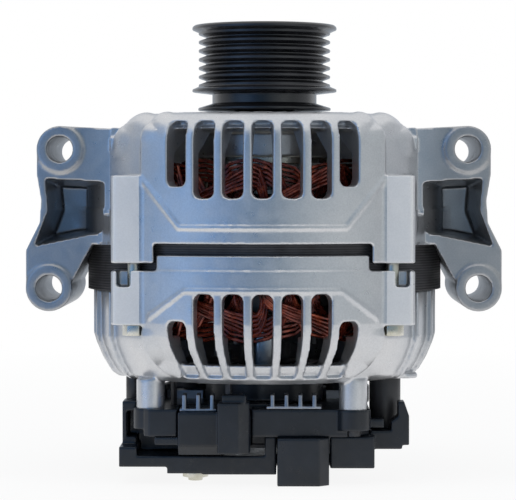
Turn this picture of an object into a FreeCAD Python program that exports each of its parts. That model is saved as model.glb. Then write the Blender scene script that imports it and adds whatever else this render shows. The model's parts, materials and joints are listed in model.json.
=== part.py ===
import FreeCAD, Part
import math
import os
import Sketcher

# Driving dimensions in millimetres, and angles in degrees. The shaft lies along Z with the
# pulley on top, and z = 0 is the plane on which the rear end stands.
SIZES = {
    # stator and its winding
    "core_radius": 72.3,
    "core_bore_radius": 54.0,
    "core_low": 76.0,
    "core_high": 105.0,
    "slot_count": 36,
    "slot_width": 4.4,
    "slot_bottom_radius": 64.0,
    "winding_width": 3.9,
    "winding_inner_radius": 55.6,
    "winding_outer_radius": 65.2,
    "winding_high": 128.5,
    "winding_low": 56.5,
    "winding_lift": 0.4,
    # drive end housing
    "drum_radius": 76.6,
    "drum_half_width": 47.5,
    "drum_corner_radius": 13.0,
    "shell_radius": 72.6,
    "shell_half_width": 60.0,
    "shell_corner_radius": 17.0,
    "shoulder_radius": 12.0,
    "wall": 3.2,
    "front_wall": 3.2,
    "top_face": 146.0,
    "top_plate": 6.8,
    "front_rim": 95.2,
    "skirt_low": 87.6,
    "window_half_width": 42.2,
    "front_ring_low": 94.3,
    "ridge_height": 0.7,
    "ridge_width": 1.3,
    "front_ridge_level": 101.0,
    "hub_radius": 30.5,
    "front_cavity_radius": 70.3,
    "front_neck_radius": 57.0,
    "front_lip_radius": 17.0,
    "front_window_radius": 46.0,
    "front_window_count": 12,
    "ridge_inner_x": 32.6,
    "ridge_rise": 18.5,
    "rear_ridge_level": 76.8,
    # ventilation slots round the front and the back
    "vent_angle": 6.1,
    "vent_start_radius": 50.0,
    "vent_pitch_angle": 8.65,
    "front_vent_low": 112.8,
    "front_vent_short_low": 117.3,
    "front_vent_high": 142.3,
    "rear_vent_high": 76.0,
    "rear_vent_short_high": 65.5,
    "rear_liner_high": 48.3,
    "rear_vent_inner": 57.5,
    "rear_liner_radius": 65.5,
    # through bolts and the bosses that they clamp
    "bolt_x": 50.3,
    "bolt_y": 55.9,
    "bolt_radius": 2.5,
    "bolt_head_height": 4.2,
    "boss_inner_x": 43.0,
    "boss_outer_x": 59.0,
    "boss_face_y": 60.9,
    "boss_back_y": 42.0,
    "front_boss_high": 121.6,
    "rear_boss_low": 63.6,
    "rear_rim": 84.8,
    "rear_centre_rim": 90.8,
    "bolt_top": 119.5,
    "bolt_gap": 0.4,
    "bolt_head_width": 7.8,
    "boss_notch_height": 6.4,
    # mounting ears
    "ear_front_y": 36.0,
    "ear_back_y": 30.0,
    "upper_hole_x": 80.9,
    "upper_hole_z": 132.2,
    "lower_hole_x": 85.3,
    "lower_hole_z": 77.0,
    "ear_hole_radius": 5.2,
    "ear_boss_radius": 9.2,
    "ear_boss_height": 0.9,
    "pocket_depth": 38.0,
    "rear_pocket_depth": 18.0,
    "pocket_taper": 4.0,
    "arm_inner_x": 68.0,
    "ear_waist_x": 88.0,
    "ear_waist_z": 108.0,
    "ear_wall": 3.2,
    "pocket_low_z": 101.5,
    "pocket_high_z": 118.7,
    # rear housing
    "rear_side_radius": 70.2,
    "rear_floor": 40.5,
    "rear_floor_thickness": 2.8,
    "rear_corner_radius": 22.0,
    "leg_bottom": 28.9,
    "rear_foot_radius": 61.0,
    "rear_shoulder_height": 16.0,
    "rib_height": 2.4,
    "rib_width": 2.6,
    "rib_pitch_angle": 14.0,
    "centre_rim_half_width": 41.0,
    "rim_step": 0.8,
    "rear_cavity_radius": 65.8,
    "rear_drum_wall": 5.0,
    "drum_cavity_angle": 74.0,
    "rear_hub_radius": 22.6,
    "rear_window_radius": 47.0,
    "rear_window_count": 10,
    "rear_lip_radius": 12.0,
    "rear_lip": 1.6,
    "left_leg_x": 44.8,
    "left_leg_y": 38.0,
    "right_leg_x": 35.4,
    "right_leg_y": 44.0,
    "back_leg_y": 49.0,
    "leg_radius": 5.6,
    "leg_screw_radius": 1.7,
    "leg_screw_depth": 8.0,
    "tab_x": 55.6,
    "tab_y": -22.0,
    "tab_radius": 6.0,
    "tab_thickness": 2.2,
    # bearings
    "shaft_radius": 8.5,
    "front_bearing_radius": 23.5,
    "front_bearing_low": 129.0,
    "front_bearing_width": 14.0,
    "front_race_radius": 16.0,
    "front_ball_radius": 4.2,
    "rear_bearing_radius": 17.5,
    "rear_bearing_low": 34.5,
    "rear_bearing_width": 10.0,
    "rear_race_radius": 13.0,
    "rear_ball_radius": 2.9,
    "ball_count": 7,
    "ball_clearance": 0.06,
    "fit_gap": 0.05,
    "sleeve_wall": 1.0,
    "cage_wall": 1.6,
    "cage_edge": 1.0,
    "retainer_thickness": 2.2,
    "retainer_inner_radius": 20.0,
    "retainer_head_radius": 3.1,
    "retainer_head_height": 2.0,
    "retainer_screw_circle": 27.0,
    "retainer_screw_radius": 1.7,
    "retainer_screw_depth": 6.0,
    "retainer_screw_count": 3,
    # rotor
    "pole_radius": 53.4,
    "pole_disc_radius": 36.0,
    "pole_disc_thickness": 12.0,
    "rotor_low": 66.5,
    "rotor_high": 114.5,
    "claw_count": 6,
    "claw_root_width": 25.0,
    "claw_tip_width": 10.0,
    "claw_root_thickness": 11.0,
    "claw_tip_thickness": 4.5,
    "claw_tip_gap": 4.0,
    "yoke_radius": 27.0,
    "coil_radius": 40.0,
    "bobbin_wall": 1.2,
    "fan_thickness": 1.5,
    "fan_inner_radius": 26.0,
    "fan_outer_radius": 51.0,
    "front_fan_high": 126.0,
    "rear_fan_low": 55.5,
    "fan_blade_count": 10,
    "shaft_low": 14.2,
    "shaft_high": 178.5,
    "slip_hub_radius": 7.4,
    "slip_ring_radius": 9.0,
    "slip_ring_width": 5.0,
    "upper_ring_level": 27.0,
    "lower_ring_level": 19.8,
    "rotor_seat_radius": 9.5,
    "claw_angle": 27.0,
    "fan_blade_inner_radius": 32.6,
    "fan_blade_bend": 4.0,
    "spacer_radius": 12.5,
    "shaft_tail_radius": 5.5,
    "shaft_tail_top": 33.0,
    "shaft_shoulder_radius": 10.5,
    "thread_radius": 8.0,
    "slip_hub_low": 15.5,
    "slip_hub_high": 32.0,
    # pulley
    "pulley_top": 183.4,
    "pulley_flange_radius": 29.6,
    "pulley_tooth_radius": 27.0,
    "groove_depth": 3.0,
    "groove_pitch": 3.56,
    "groove_count": 6,
    "first_groove": 178.3,
    "pulley_neck_radius": 21.4,
    "pulley_neck_low": 151.4,
    "slinger_radius": 27.2,
    "pulley_low": 148.0,
    "nut_width": 24.0,
    "nut_height": 9.0,
    "nut_low": 168.0,
    "pulley_recess_radius": 18.0,
    # regulator and brush gear
    "brush_box_half_width": 9.0,
    "brush_box_front_y": 10.6,
    "brush_box_back_y": 34.0,
    "brush_box_low": 14.5,
    "brush_box_high": 31.0,
    "brush_half_width": 3.2,
    "brush_half_height": 2.3,
    "brush_back_y": 23.0,
    "brush_gap": 0.03,
    "brush_clearance": 0.3,
    "spring_back_y": 30.8,
    "spring_radius": 1.9,
    "spring_wall": 0.5,
    "regulator_front_y": 50.0,
    "regulator_left_x": 33.5,
    "regulator_right_x": 5.0,
    "regulator_low": 11.7,
    "regulator_high": 28.7,
    "connector_left_x": 17.8,
    "connector_right_x": 5.3,
    "connector_front_y": 57.0,
    "connector_depth": 12.0,
    "connector_low": 13.1,
    "connector_high": 33.0,
    "connector_shoulder": 3.0,
    "connector_wall": 1.5,
    "socket_depth": 13.0,
    "pin_radius": 0.8,
    "pin_spacing": 2.6,
    "pin_back_y": 3.4,
    # cooling fins
    "fin_front_y": 46.0,
    "fin_length": 11.0,
    "fin_plate_thickness": 1.2,
    "fin_width": 1.5,
    "fin_spacing": 5.5,
    "fin_top": 35.4,
    "left_fin_x": 31.2,
    "right_fin_x": 3.6,
    # rectifier
    "carrier_low": 18.8,
    "carrier_high": 29.7,
    "carrier_front_y": 47.0,
    "carrier_back_y": 46.0,
    "carrier_left_x": 47.0,
    "carrier_right_x": 41.9,
    "carrier_boss_low": 21.5,
    "carrier_boss_radius": 6.9,
    "carrier_bore_radius": 16.0,
    "carrier_gap": 0.4,
    "carrier_screw_head_radius": 3.0,
    "carrier_screw_head_height": 2.4,
    "plate_inner_radius": 26.0,
    "plate_outer_radius": 41.0,
    "plate_angle": 160.0,
    "positive_plate_thickness": 3.3,
    "negative_plate_thickness": 3.0,
    "diode_circle": 33.0,
    "diode_radius": 5.5,
    "diode_height": 3.0,
    "lead_circle": 44.6,
    "lead_width": 2.0,
    "capacitor_x": 48.8,
    "capacitor_y": 20.0,
    "capacitor_radius": 6.3,
    "capacitor_front_y": 36.0,
    "post_x": 52.6,
    "post_y": 15.0,
    "post_radius": 3.4,
    "post_low": 30.7,
    # output stud and cover stud
    "stud_x": 9.5,
    "stud_y": 34.0,
    "stud_radius": 4.0,
    "stud_clearance": 0.5,
    "stud_head_width": 10.0,
    "stud_head_height": 3.0,
    "output_nut_width": 13.0,
    "output_nut_height": 5.0,
    "cover_stud_x": 27.3,
    "cover_stud_y": 30.0,
    "cover_stud_radius": 2.9,
    "cover_nut_width": 9.0,
    "cover_nut_height": 2.8,
    # second connector
    "socket_left_x": 5.5,
    "socket_right_x": 25.9,
    "socket_front_y": 52.0,
    "socket_back_y": 36.0,
    "second_socket_depth": 14.0,
    "second_pin_length": 7.5,
    "second_pin_spacing": 4.5,
    # rear cover
    "cover_low": 6.7,
    "cover_high": 11.1,
    "cover_left_x": 57.0,
    "cover_right_x": 41.0,
    "cover_front_y": 44.0,
    "cover_back_y": 46.0,
    "cover_step_low": 3.7,
    "cover_step_x": 24.0,
    "cover_lip_low": 4.1,
    "cover_lip_x": 38.0,
    "cover_wall_high": 14.6,
    "left_clip_high": 31.9,
    "clip_base_low": 13.0,
    "clip_base_high": 20.4,
    "right_clip_x": 57.9,
    "right_clip_high": 32.0,
    "right_clip_width": 9.2,
    "column_x": 0.5,
    "back_post_x": 32.0,
    "back_post_y": 30.0,
    "back_post_radius": 4.0,
    "cover_bore_radius": 14.0,
}


class Term:
    """A size together with the expression that keeps a shape tied to the sheet."""

    def __init__(self, value, text):
        self.value = float(value)
        self.text = text

    def _join(self, other, sign, result):
        return Term(result, "(" + self.text + " " + sign + " " + term(other).text + ")")

    def __add__(self, other):
        return self._join(other, "+", self.value + term(other).value)

    def __sub__(self, other):
        return self._join(other, "-", self.value - term(other).value)

    def __mul__(self, other):
        return self._join(other, "*", self.value * term(other).value)

    def __truediv__(self, other):
        return self._join(other, "/", self.value / term(other).value)

    def __radd__(self, other):
        return term(other) + self

    def __rsub__(self, other):
        return term(other) - self

    def __rmul__(self, other):
        return term(other) * self

    def __neg__(self):
        return term(0) - self


def term(number):
    """A plain number as a term; a term stays as it is."""
    if isinstance(number, Term):
        return number
    return Term(number, repr(float(number)))


class Sheet:
    """Reads a named size of the spreadsheet as a term."""

    def __getattr__(self, name):
        return Term(SIZES[name], "Sizes." + name)


d = Sheet()
document = FreeCAD.newDocument("Alternator")


def fill_sheet():
    sheet = document.addObject("Spreadsheet::Sheet", "Sizes")
    for row, (name, number) in enumerate(SIZES.items(), start=1):
        sheet.set("A" + str(row), name)
        sheet.set("B" + str(row), str(number))
        sheet.setAlias("B" + str(row), name)
    document.recompute()


fill_sheet()
NODES = {}


def keep(label, item):
    """Names an object as one sub-part of the assembly."""
    item.Label = label
    NODES[label] = item
    return item


def bind(item, name, size):
    size = term(size)
    setattr(item, name, size.value)
    item.setExpression(name, size.text)


def place(item, x=0.0, y=0.0, z=0.0, axis=(0, 0, 1), angle=0.0):
    """Puts an object at a bound position, turned by a fixed angle about an axis."""
    x, y, z = term(x), term(y), term(z)
    turn = FreeCAD.Rotation(FreeCAD.Vector(*axis), angle)
    item.Placement = FreeCAD.Placement(FreeCAD.Vector(x.value, y.value, z.value), turn)
    item.setExpression("Placement.Base.x", x.text)
    item.setExpression("Placement.Base.y", y.text)
    item.setExpression("Placement.Base.z", z.text)
    return item


def shape_body(name):
    """A body that is only a step towards a sub-part."""
    body = document.addObject("PartDesign::Body", name)
    body.AllowCompound = True
    return body


def new_body(label):
    return keep(label, shape_body(label))


def fused(name, items):
    """One shape out of several that overlap."""
    item = document.addObject("Part::MultiFuse", name)
    item.Shapes = items
    document.recompute()
    return item


def cut_out(name, base, tool):
    item = document.addObject("Part::Cut", name)
    item.Base = base
    item.Tool = tool
    document.recompute()
    return item


def rod(name, x, y, radius, low, high):
    """A round bar that stands parallel to the shaft."""
    item = document.addObject("Part::Cylinder", name)
    bind(item, "Radius", radius)
    bind(item, "Height", high - term(low))
    return place(item, x, y, low)


def tube(label, inner, outer, low, high):
    """A sub-part that is a plain ring about the shaft."""
    body = new_body(label)
    turn(body, [ring_outline(inner, outer, low, high)])
    return body


def origin_item(body, role):
    return [item for item in body.Origin.OriginFeatures if item.Role == role][0]


# Each entry: the origin plane, and the sign that turns a global level into its offset.
PLANES = {"X": ("YZ_Plane", 1.0), "Y": ("XZ_Plane", -1.0), "Z": ("XY_Plane", 1.0)}


def new_sketch(body, across, level=0.0, swing=None):
    """A sketch on the plane across an axis, at a level along it, or swung about the shaft axis."""
    role, sign = PLANES[across]
    sketch = body.newObject("Sketcher::SketchObject", body.Name + "Sketch")
    sketch.AttachmentSupport = [(origin_item(body, role), "")]
    sketch.MapMode = "FlatFace"
    offset = sign * term(level)
    sketch.AttachmentOffset = FreeCAD.Placement(FreeCAD.Vector(0, 0, offset.value), FreeCAD.Rotation())
    sketch.setExpression("AttachmentOffset.Base.z", offset.text)
    if swing is not None:
        upright = FreeCAD.Vector(0, 1, 0)
        swung = FreeCAD.Rotation(upright, swing.value)
        sketch.AttachmentOffset = FreeCAD.Placement(FreeCAD.Vector(), swung)
        sketch.setExpression("AttachmentOffset.Rotation.Angle", swing.text)
    return sketch


def pin_point(sketch, geometry, point, x, y):
    """Fixes a point of the sketch at bound coordinates."""
    for kind, size in (("DistanceX", x), ("DistanceY", y)):
        number = sketch.addConstraint(Sketcher.Constraint(kind, -1, 1, geometry, point, size.value))
        sketch.setExpression("Constraints[" + str(number) + "]", size.text)


def draw_circle(sketch, x, y, radius):
    x, y, radius = term(x), term(y), term(radius)
    centre = FreeCAD.Vector(x.value, y.value, 0)
    circle = sketch.addGeometry(Part.Circle(centre, FreeCAD.Vector(0, 0, 1), radius.value), False)
    pin_point(sketch, circle, 3, x, y)
    number = sketch.addConstraint(Sketcher.Constraint("Radius", circle, radius.value))
    sketch.setExpression("Constraints[" + str(number) + "]", radius.text)


def draw_outline(sketch, corners):
    """A closed outline of straight lines, with every corner held at its bound coordinates."""
    corners = [(term(x), term(y)) for x, y in corners]
    spots = [FreeCAD.Vector(x.value, y.value, 0) for x, y in corners]
    spots.append(spots[0])
    lines = [
        sketch.addGeometry(Part.LineSegment(spots[i], spots[i + 1]), False)
        for i in range(len(corners))
    ]
    for i, (x, y) in enumerate(corners):
        sketch.addConstraint(Sketcher.Constraint("Coincident", lines[i - 1], 2, lines[i], 1))
        pin_point(sketch, lines[i], 1, x, y)


def turn(body, outlines, cut=False, across="Y", angle=None, swing=None):
    """Turns outlines of (radius, height) about the shaft axis: fully, or by an angle in all."""
    sketch = new_sketch(body, across, swing=swing)
    for corners in outlines:
        draw_outline(sketch, corners)
    feature = body.newObject("PartDesign::Groove" if cut else "PartDesign::Revolution", "Turned")
    feature.Profile = sketch
    feature.Refine = False
    feature.ReferenceAxis = (sketch, ["V_Axis"])
    if angle is None:
        feature.Angle = 360
    else:
        bind(feature, "Angle", angle)
        feature.Midplane = True
    document.recompute()
    return feature


def extrude(body, across, level, length, outlines=(), circles=(), cut=False, upward=True,
            taper=None, swing=None):
    """Pads or pockets outlines from a level along an axis, up or down that axis. With a swing,
    the sketch stands in the shaft axis, turned about it, and the shape reaches both ways."""
    sketch = new_sketch(body, across, level, swing)
    for corners in outlines:
        draw_outline(sketch, corners)
    for x, y, radius in circles:
        draw_circle(sketch, x, y, radius)
    feature = body.newObject("PartDesign::Pocket" if cut else "PartDesign::Pad", "Extruded")
    feature.Profile = sketch
    feature.Refine = False
    bind(feature, "Length", length)
    along_normal = upward if across != "Y" else not upward
    feature.Reversed = along_normal if cut else not along_normal
    if swing is not None:
        feature.SideType = "Symmetric"
    if taper is not None:
        bind(feature, "TaperAngle", taper)
    document.recompute()
    return feature


def around(body, features, count, step=None, backward=False):
    """Repeats features about the shaft axis, evenly round a full turn or by a given step."""
    pattern = body.newObject("PartDesign::PolarPattern", "Pattern")
    pattern.Originals = features
    pattern.Refine = False
    pattern.Axis = (origin_item(body, "Z_Axis"), [""])
    if step is None:
        pattern.Angle = 360
    else:
        pattern.Mode = "Spacing"
        bind(pattern, "Offset", step)
    count = term(count)
    pattern.Occurrences = int(count.value)
    pattern.setExpression("Occurrences", count.text)
    pattern.Reversed = backward
    body.Tip = pattern
    document.recompute()
    return pattern


def ring_outline(inner, outer, low, high):
    return [(inner, low), (outer, low), (outer, high), (inner, high)]


def box_outline(low_x, high_x, low_y, high_y):
    return [(low_x, low_y), (high_x, low_y), (high_x, high_y), (low_x, high_y)]


def chamfered(low_x, high_x, low_y, high_y, size):
    """A box with its corners cut at an angle."""
    return [
        (low_x + size, low_y), (high_x - size, low_y), (high_x, low_y + size), (high_x, high_y - size),
        (high_x - size, high_y), (low_x + size, high_y), (low_x, high_y - size), (low_x, low_y + size)]


def eased(x, y, radius, side=1):
    """A corner eased by two flats, from the outer wall round to the top, or to the bottom."""
    corners = []
    for step in range(3):
        swing = math.radians(45 * step)
        corners.append((x - radius * (1 - math.cos(swing)), y - side * radius * (1 - math.sin(swing))))
    return corners


def hexagon(x, y, width):
    """Six corners about a centre; the width is measured across the flats."""
    reach = width / math.sqrt(3)
    return [
        (x + reach * math.cos(math.radians(60 * i)), y + reach * math.sin(math.radians(60 * i)))
        for i in range(6)]


def both(outline):
    """An outline given for positive x, and its mirror image."""
    return [outline, [(-x, y) for x, y in reversed(outline)]]


def four_corners(outline):
    """An outline given for one quadrant, repeated in all four."""
    return both(outline) + both([(x, -y) for x, y in reversed(outline)])


QUADRANTS = [(1, 1), (-1, 1), (-1, -1), (1, -1)]
# How far a cutting outline reaches outside the drum
OUTSIDE = 40.0
# Places round the shaft, in degrees from the right
POSITIVE_DIODES = (20, 120, 150)
NEGATIVE_DIODES = (45, 95, 170)
STATOR_LEADS = (36, 108, 144)


# Ventilation slots lie between meridian ribs, in front and behind.
def vent_slots(name, low, short_low, high, outer_high, keep_outline):
    """Slots through the drum, spaced round it; the outermost ones are shorter.
    What lies inside the kept outline stays uncut."""
    body = shape_body(name)
    step = d.vent_pitch_angle
    far = d.drum_radius + 4
    near = d.vent_start_radius
    for bottom, top, first, count, spacing in (
            (low, high, -2 * step, 5, step), (short_low, outer_high, -3 * step, 2, 6 * step)):
        outlines = [ring_outline(near, far, bottom, top), ring_outline(-far, -near, bottom, top)]
        slot = turn(body, outlines, across="X", angle=d.vent_angle, swing=first)
        around(body, [slot], count, spacing)
    turn(body, [keep_outline], cut=True)
    return body


def ridge_band(outer_x, inner_x, outer_level, inner_level, width):
    """Front view of a thin raised line: level in the middle, sloping at both ends."""
    return [
        (-outer_x, outer_level), (-inner_x, inner_level), (inner_x, inner_level),
        (outer_x, outer_level), (outer_x, outer_level + width * 1.6),
        (inner_x - width / 2, inner_level + width), (-inner_x + width / 2, inner_level + width),
        (-outer_x, outer_level + width * 1.6)]


def raised_line(name, band, low, high):
    """A thin line that stands proud of the drum in front and behind."""
    depth = 2 * d.drum_radius + 10
    body = shape_body(name)
    extrude(body, "Y", -depth / 2, depth, [band])
    turn(body, [ring_outline(d.drum_radius + d.ridge_height, d.drum_radius + OUTSIDE, low, high)], cut=True)
    turn(body, [ring_outline(0, d.drum_radius - d.front_wall, low, high)], cut=True)
    return body


def four_bosses(name, low, high):
    """Bosses that the through bolts clamp, one in each corner."""
    body = shape_body(name)
    extrude(body, "Z", low, high - low, four_corners([
        (d.boss_inner_x, d.boss_back_y), (d.boss_outer_x, d.boss_back_y),
        (d.boss_outer_x, d.boss_face_y - 1.5), (d.boss_outer_x - 1.5, d.boss_face_y),
        (d.boss_inner_x, d.boss_face_y)]))
    return body


def bolt_holes(name, radius, low, high):
    body = shape_body(name)
    extrude(body, "Z", low, high - low, circles=[
        (sx * d.bolt_x, sy * d.bolt_y, radius) for sx, sy in QUADRANTS])
    return body


def windows(name, inner_radius, inner_half, outer_radius, outer_half, low, high, count):
    """Openings round a bearing hub that let the cooling air through."""
    body = shape_body(name)
    window = extrude(body, "Z", low, high - low, [[
        (inner_radius, -inner_half), (outer_radius - 2, -outer_half), (outer_radius, 2 - outer_half),
        (outer_radius, outer_half - 2), (outer_radius - 2, outer_half), (inner_radius, inner_half)]])
    around(body, [window], count)
    return body


# Drive end housing: a drum with flat sides, a shoulder at the pulley end and two mounting ears.
def build_drive_end_housing():
    top = d.top_face
    under = top - d.top_plate
    beyond = d.drum_radius + OUTSIDE
    # inner shell with flat sides, closed round the core by a ring
    shell = shape_body("FrontShell")
    turn(shell, [[(0, d.front_ring_low), (d.shell_radius, d.front_ring_low)]
                 + eased(d.shell_radius, top, d.shoulder_radius) + [(0, top)]])
    extrude(shell, "Y", -d.drum_radius, 2 * d.drum_radius, both(
        [(d.shell_half_width, d.front_ring_low - 1), (beyond, d.front_ring_low - 1), (beyond, top + 1),
         (d.shell_half_width - d.shell_corner_radius, top + 1)]
        + list(reversed(eased(d.shell_half_width, top, d.shell_corner_radius)))), cut=True)
    ring_radius = d.core_radius + d.wall
    turn(shell, [[
        (0, d.front_ring_low), (ring_radius, d.front_ring_low), (ring_radius, d.core_high + d.wall),
        (d.shell_radius, d.core_high + d.wall), (d.shell_radius, d.winding_high + 3),
        (0, d.winding_high + 3)]])
    # drum in front and behind, narrower and further out
    drum = shape_body("FrontDrum")
    turn(drum, [[(0, d.skirt_low), (d.drum_radius, d.skirt_low)]
                + eased(d.drum_radius, top, d.shoulder_radius) + [(0, top)]])
    extrude(drum, "Y", -d.drum_radius, 2 * d.drum_radius, both(
        [(d.drum_half_width, d.skirt_low - 1), (beyond, d.skirt_low - 1), (beyond, top + 1),
         (d.drum_half_width - d.drum_corner_radius, top + 1)]
        + list(reversed(eased(d.drum_half_width, top, d.drum_corner_radius)))), cut=True)
    line = raised_line("FrontLine", ridge_band(
        d.drum_half_width, d.ridge_inner_x, d.front_ridge_level + d.ridge_rise,
        d.front_ridge_level, d.ridge_width), d.skirt_low, top)
    bosses = four_bosses("FrontBosses", d.skirt_low, d.front_boss_high)
    outside = fused("FrontOutside", [shell, drum, line, bosses, build_ears()])
    # inside: seat of the core, room for the winding, bearing seat and the lip above it
    seat = d.front_bearing_radius + d.fit_gap
    bearing_top = d.front_bearing_low + d.front_bearing_width
    cavity = shape_body("FrontCavity")
    turn(cavity, [[
        (0, d.core_low), (d.core_radius + d.fit_gap, d.core_low),
        (d.core_radius + d.fit_gap, d.core_high), (d.front_cavity_radius, d.core_high),
        (d.front_cavity_radius, d.winding_high + 1.3), (d.front_neck_radius, under),
        (d.hub_radius, under), (d.hub_radius, d.front_bearing_low), (seat, d.front_bearing_low),
        (seat, bearing_top), (d.front_lip_radius, bearing_top), (d.front_lip_radius, top + 1),
        (0, top + 1)]])
    vent_low, vent_high = d.front_vent_low, d.front_vent_high
    vents = vent_slots("FrontVents", vent_low, d.front_vent_short_low, vent_high, vent_high, [
        (0, vent_low - 1), (d.front_neck_radius, vent_low - 1),
        (d.front_neck_radius, under), (d.front_cavity_radius, under),
        (d.drum_radius - d.shoulder_radius, vent_high), (0, vent_high)])
    openings = windows("FrontWindows", d.hub_radius + 2, 4.0, d.front_window_radius, 8.0,
                       under - 1, top + 1, d.front_window_count)
    # gap in the skirt that shows the core, in front and behind
    gap = shape_body("FrontGap")
    extrude(gap, "Y", -d.drum_radius - 2, 2 * d.drum_radius + 4, [box_outline(
        -d.window_half_width, d.window_half_width, d.skirt_low - 1, d.front_rim)])
    bolts = bolt_holes("FrontBoltHoles", d.bolt_radius + d.fit_gap, d.skirt_low - 1, d.bolt_top + 1)
    screws = shape_body("FrontScrewHoles")
    hole = extrude(screws, "Z", d.front_bearing_low - 1, d.retainer_screw_depth + 1.5, circles=[
        (d.retainer_screw_circle, 0, d.retainer_screw_radius + d.fit_gap)])
    around(screws, [hole], d.retainer_screw_count)
    inside = fused("FrontInside", [cavity, gap, bolts, screws, openings, vents])
    return keep("drive_end_housing", cut_out("FrontHousing", outside, inside))


def build_ears():
    """Two ears, each with two bored bosses and a pocket from the front and from behind."""
    body = shape_body("Ears")
    boss = d.ear_boss_radius
    root_x = d.shell_half_width - 8
    web = [
        (root_x, d.upper_hole_z + boss - 1.4), (root_x, d.front_ring_low),
        (d.arm_inner_x, d.front_ring_low), (d.lower_hole_x - boss + 0.2, d.lower_hole_z + 2),
        (d.lower_hole_x, d.lower_hole_z), (d.lower_hole_x + boss, d.lower_hole_z),
        (d.lower_hole_x + boss, d.lower_hole_z + 15.0), (d.ear_waist_x + 1, d.ear_waist_z - 5),
        (d.ear_waist_x + 0.4, d.ear_waist_z + 4), (d.upper_hole_x + boss, d.upper_hole_z - 10.0),
        (d.upper_hole_x + boss, d.upper_hole_z), (d.upper_hole_x, d.upper_hole_z + boss)]
    length = d.ear_front_y + d.ear_back_y
    extrude(body, "Y", -d.ear_front_y, length, both(web))
    holes = []
    for sx in (-1, 1):
        holes.append((sx * d.upper_hole_x, d.upper_hole_z))
        holes.append((sx * d.lower_hole_x, d.lower_hole_z))
    rise = d.ear_boss_height
    extrude(body, "Y", -d.ear_front_y - rise, length + 2 * rise, circles=[
        (x, z, d.ear_boss_radius) for x, z in holes])
    # strips that close the shell behind and in front of the root of each ear
    extrude(body, "Y", -d.ear_front_y - 1, 2 * d.ear_front_y + 2, both(box_outline(
        root_x, d.shell_half_width + 5, d.front_ring_low, d.upper_hole_z + 4)))
    wall = d.ear_wall
    pocket = [
        (root_x, d.pocket_low_z), (d.lower_hole_x + boss - wall, d.pocket_low_z - 8.0),
        (d.ear_waist_x - wall + 1, d.ear_waist_z), (d.upper_hole_x + boss - wall, d.pocket_high_z + 2.0),
        (root_x, d.pocket_high_z)]
    extrude(body, "Y", -d.ear_front_y - 2, d.pocket_depth + 2, both(pocket), cut=True,
            taper=-d.pocket_taper)
    extrude(body, "Y", d.ear_front_y + 2, d.rear_pocket_depth + 2 + d.ear_front_y - d.ear_back_y,
            both(pocket), cut=True, upward=False, taper=-d.pocket_taper)
    extrude(body, "Y", -d.ear_front_y - 5, length + 10, circles=[
        (x, z, d.ear_hole_radius) for x, z in holes], cut=True)
    return body


LEGS = [(-d.left_leg_x, -d.left_leg_y), (d.right_leg_x, -d.right_leg_y), (term(0), d.back_leg_y)]


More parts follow.
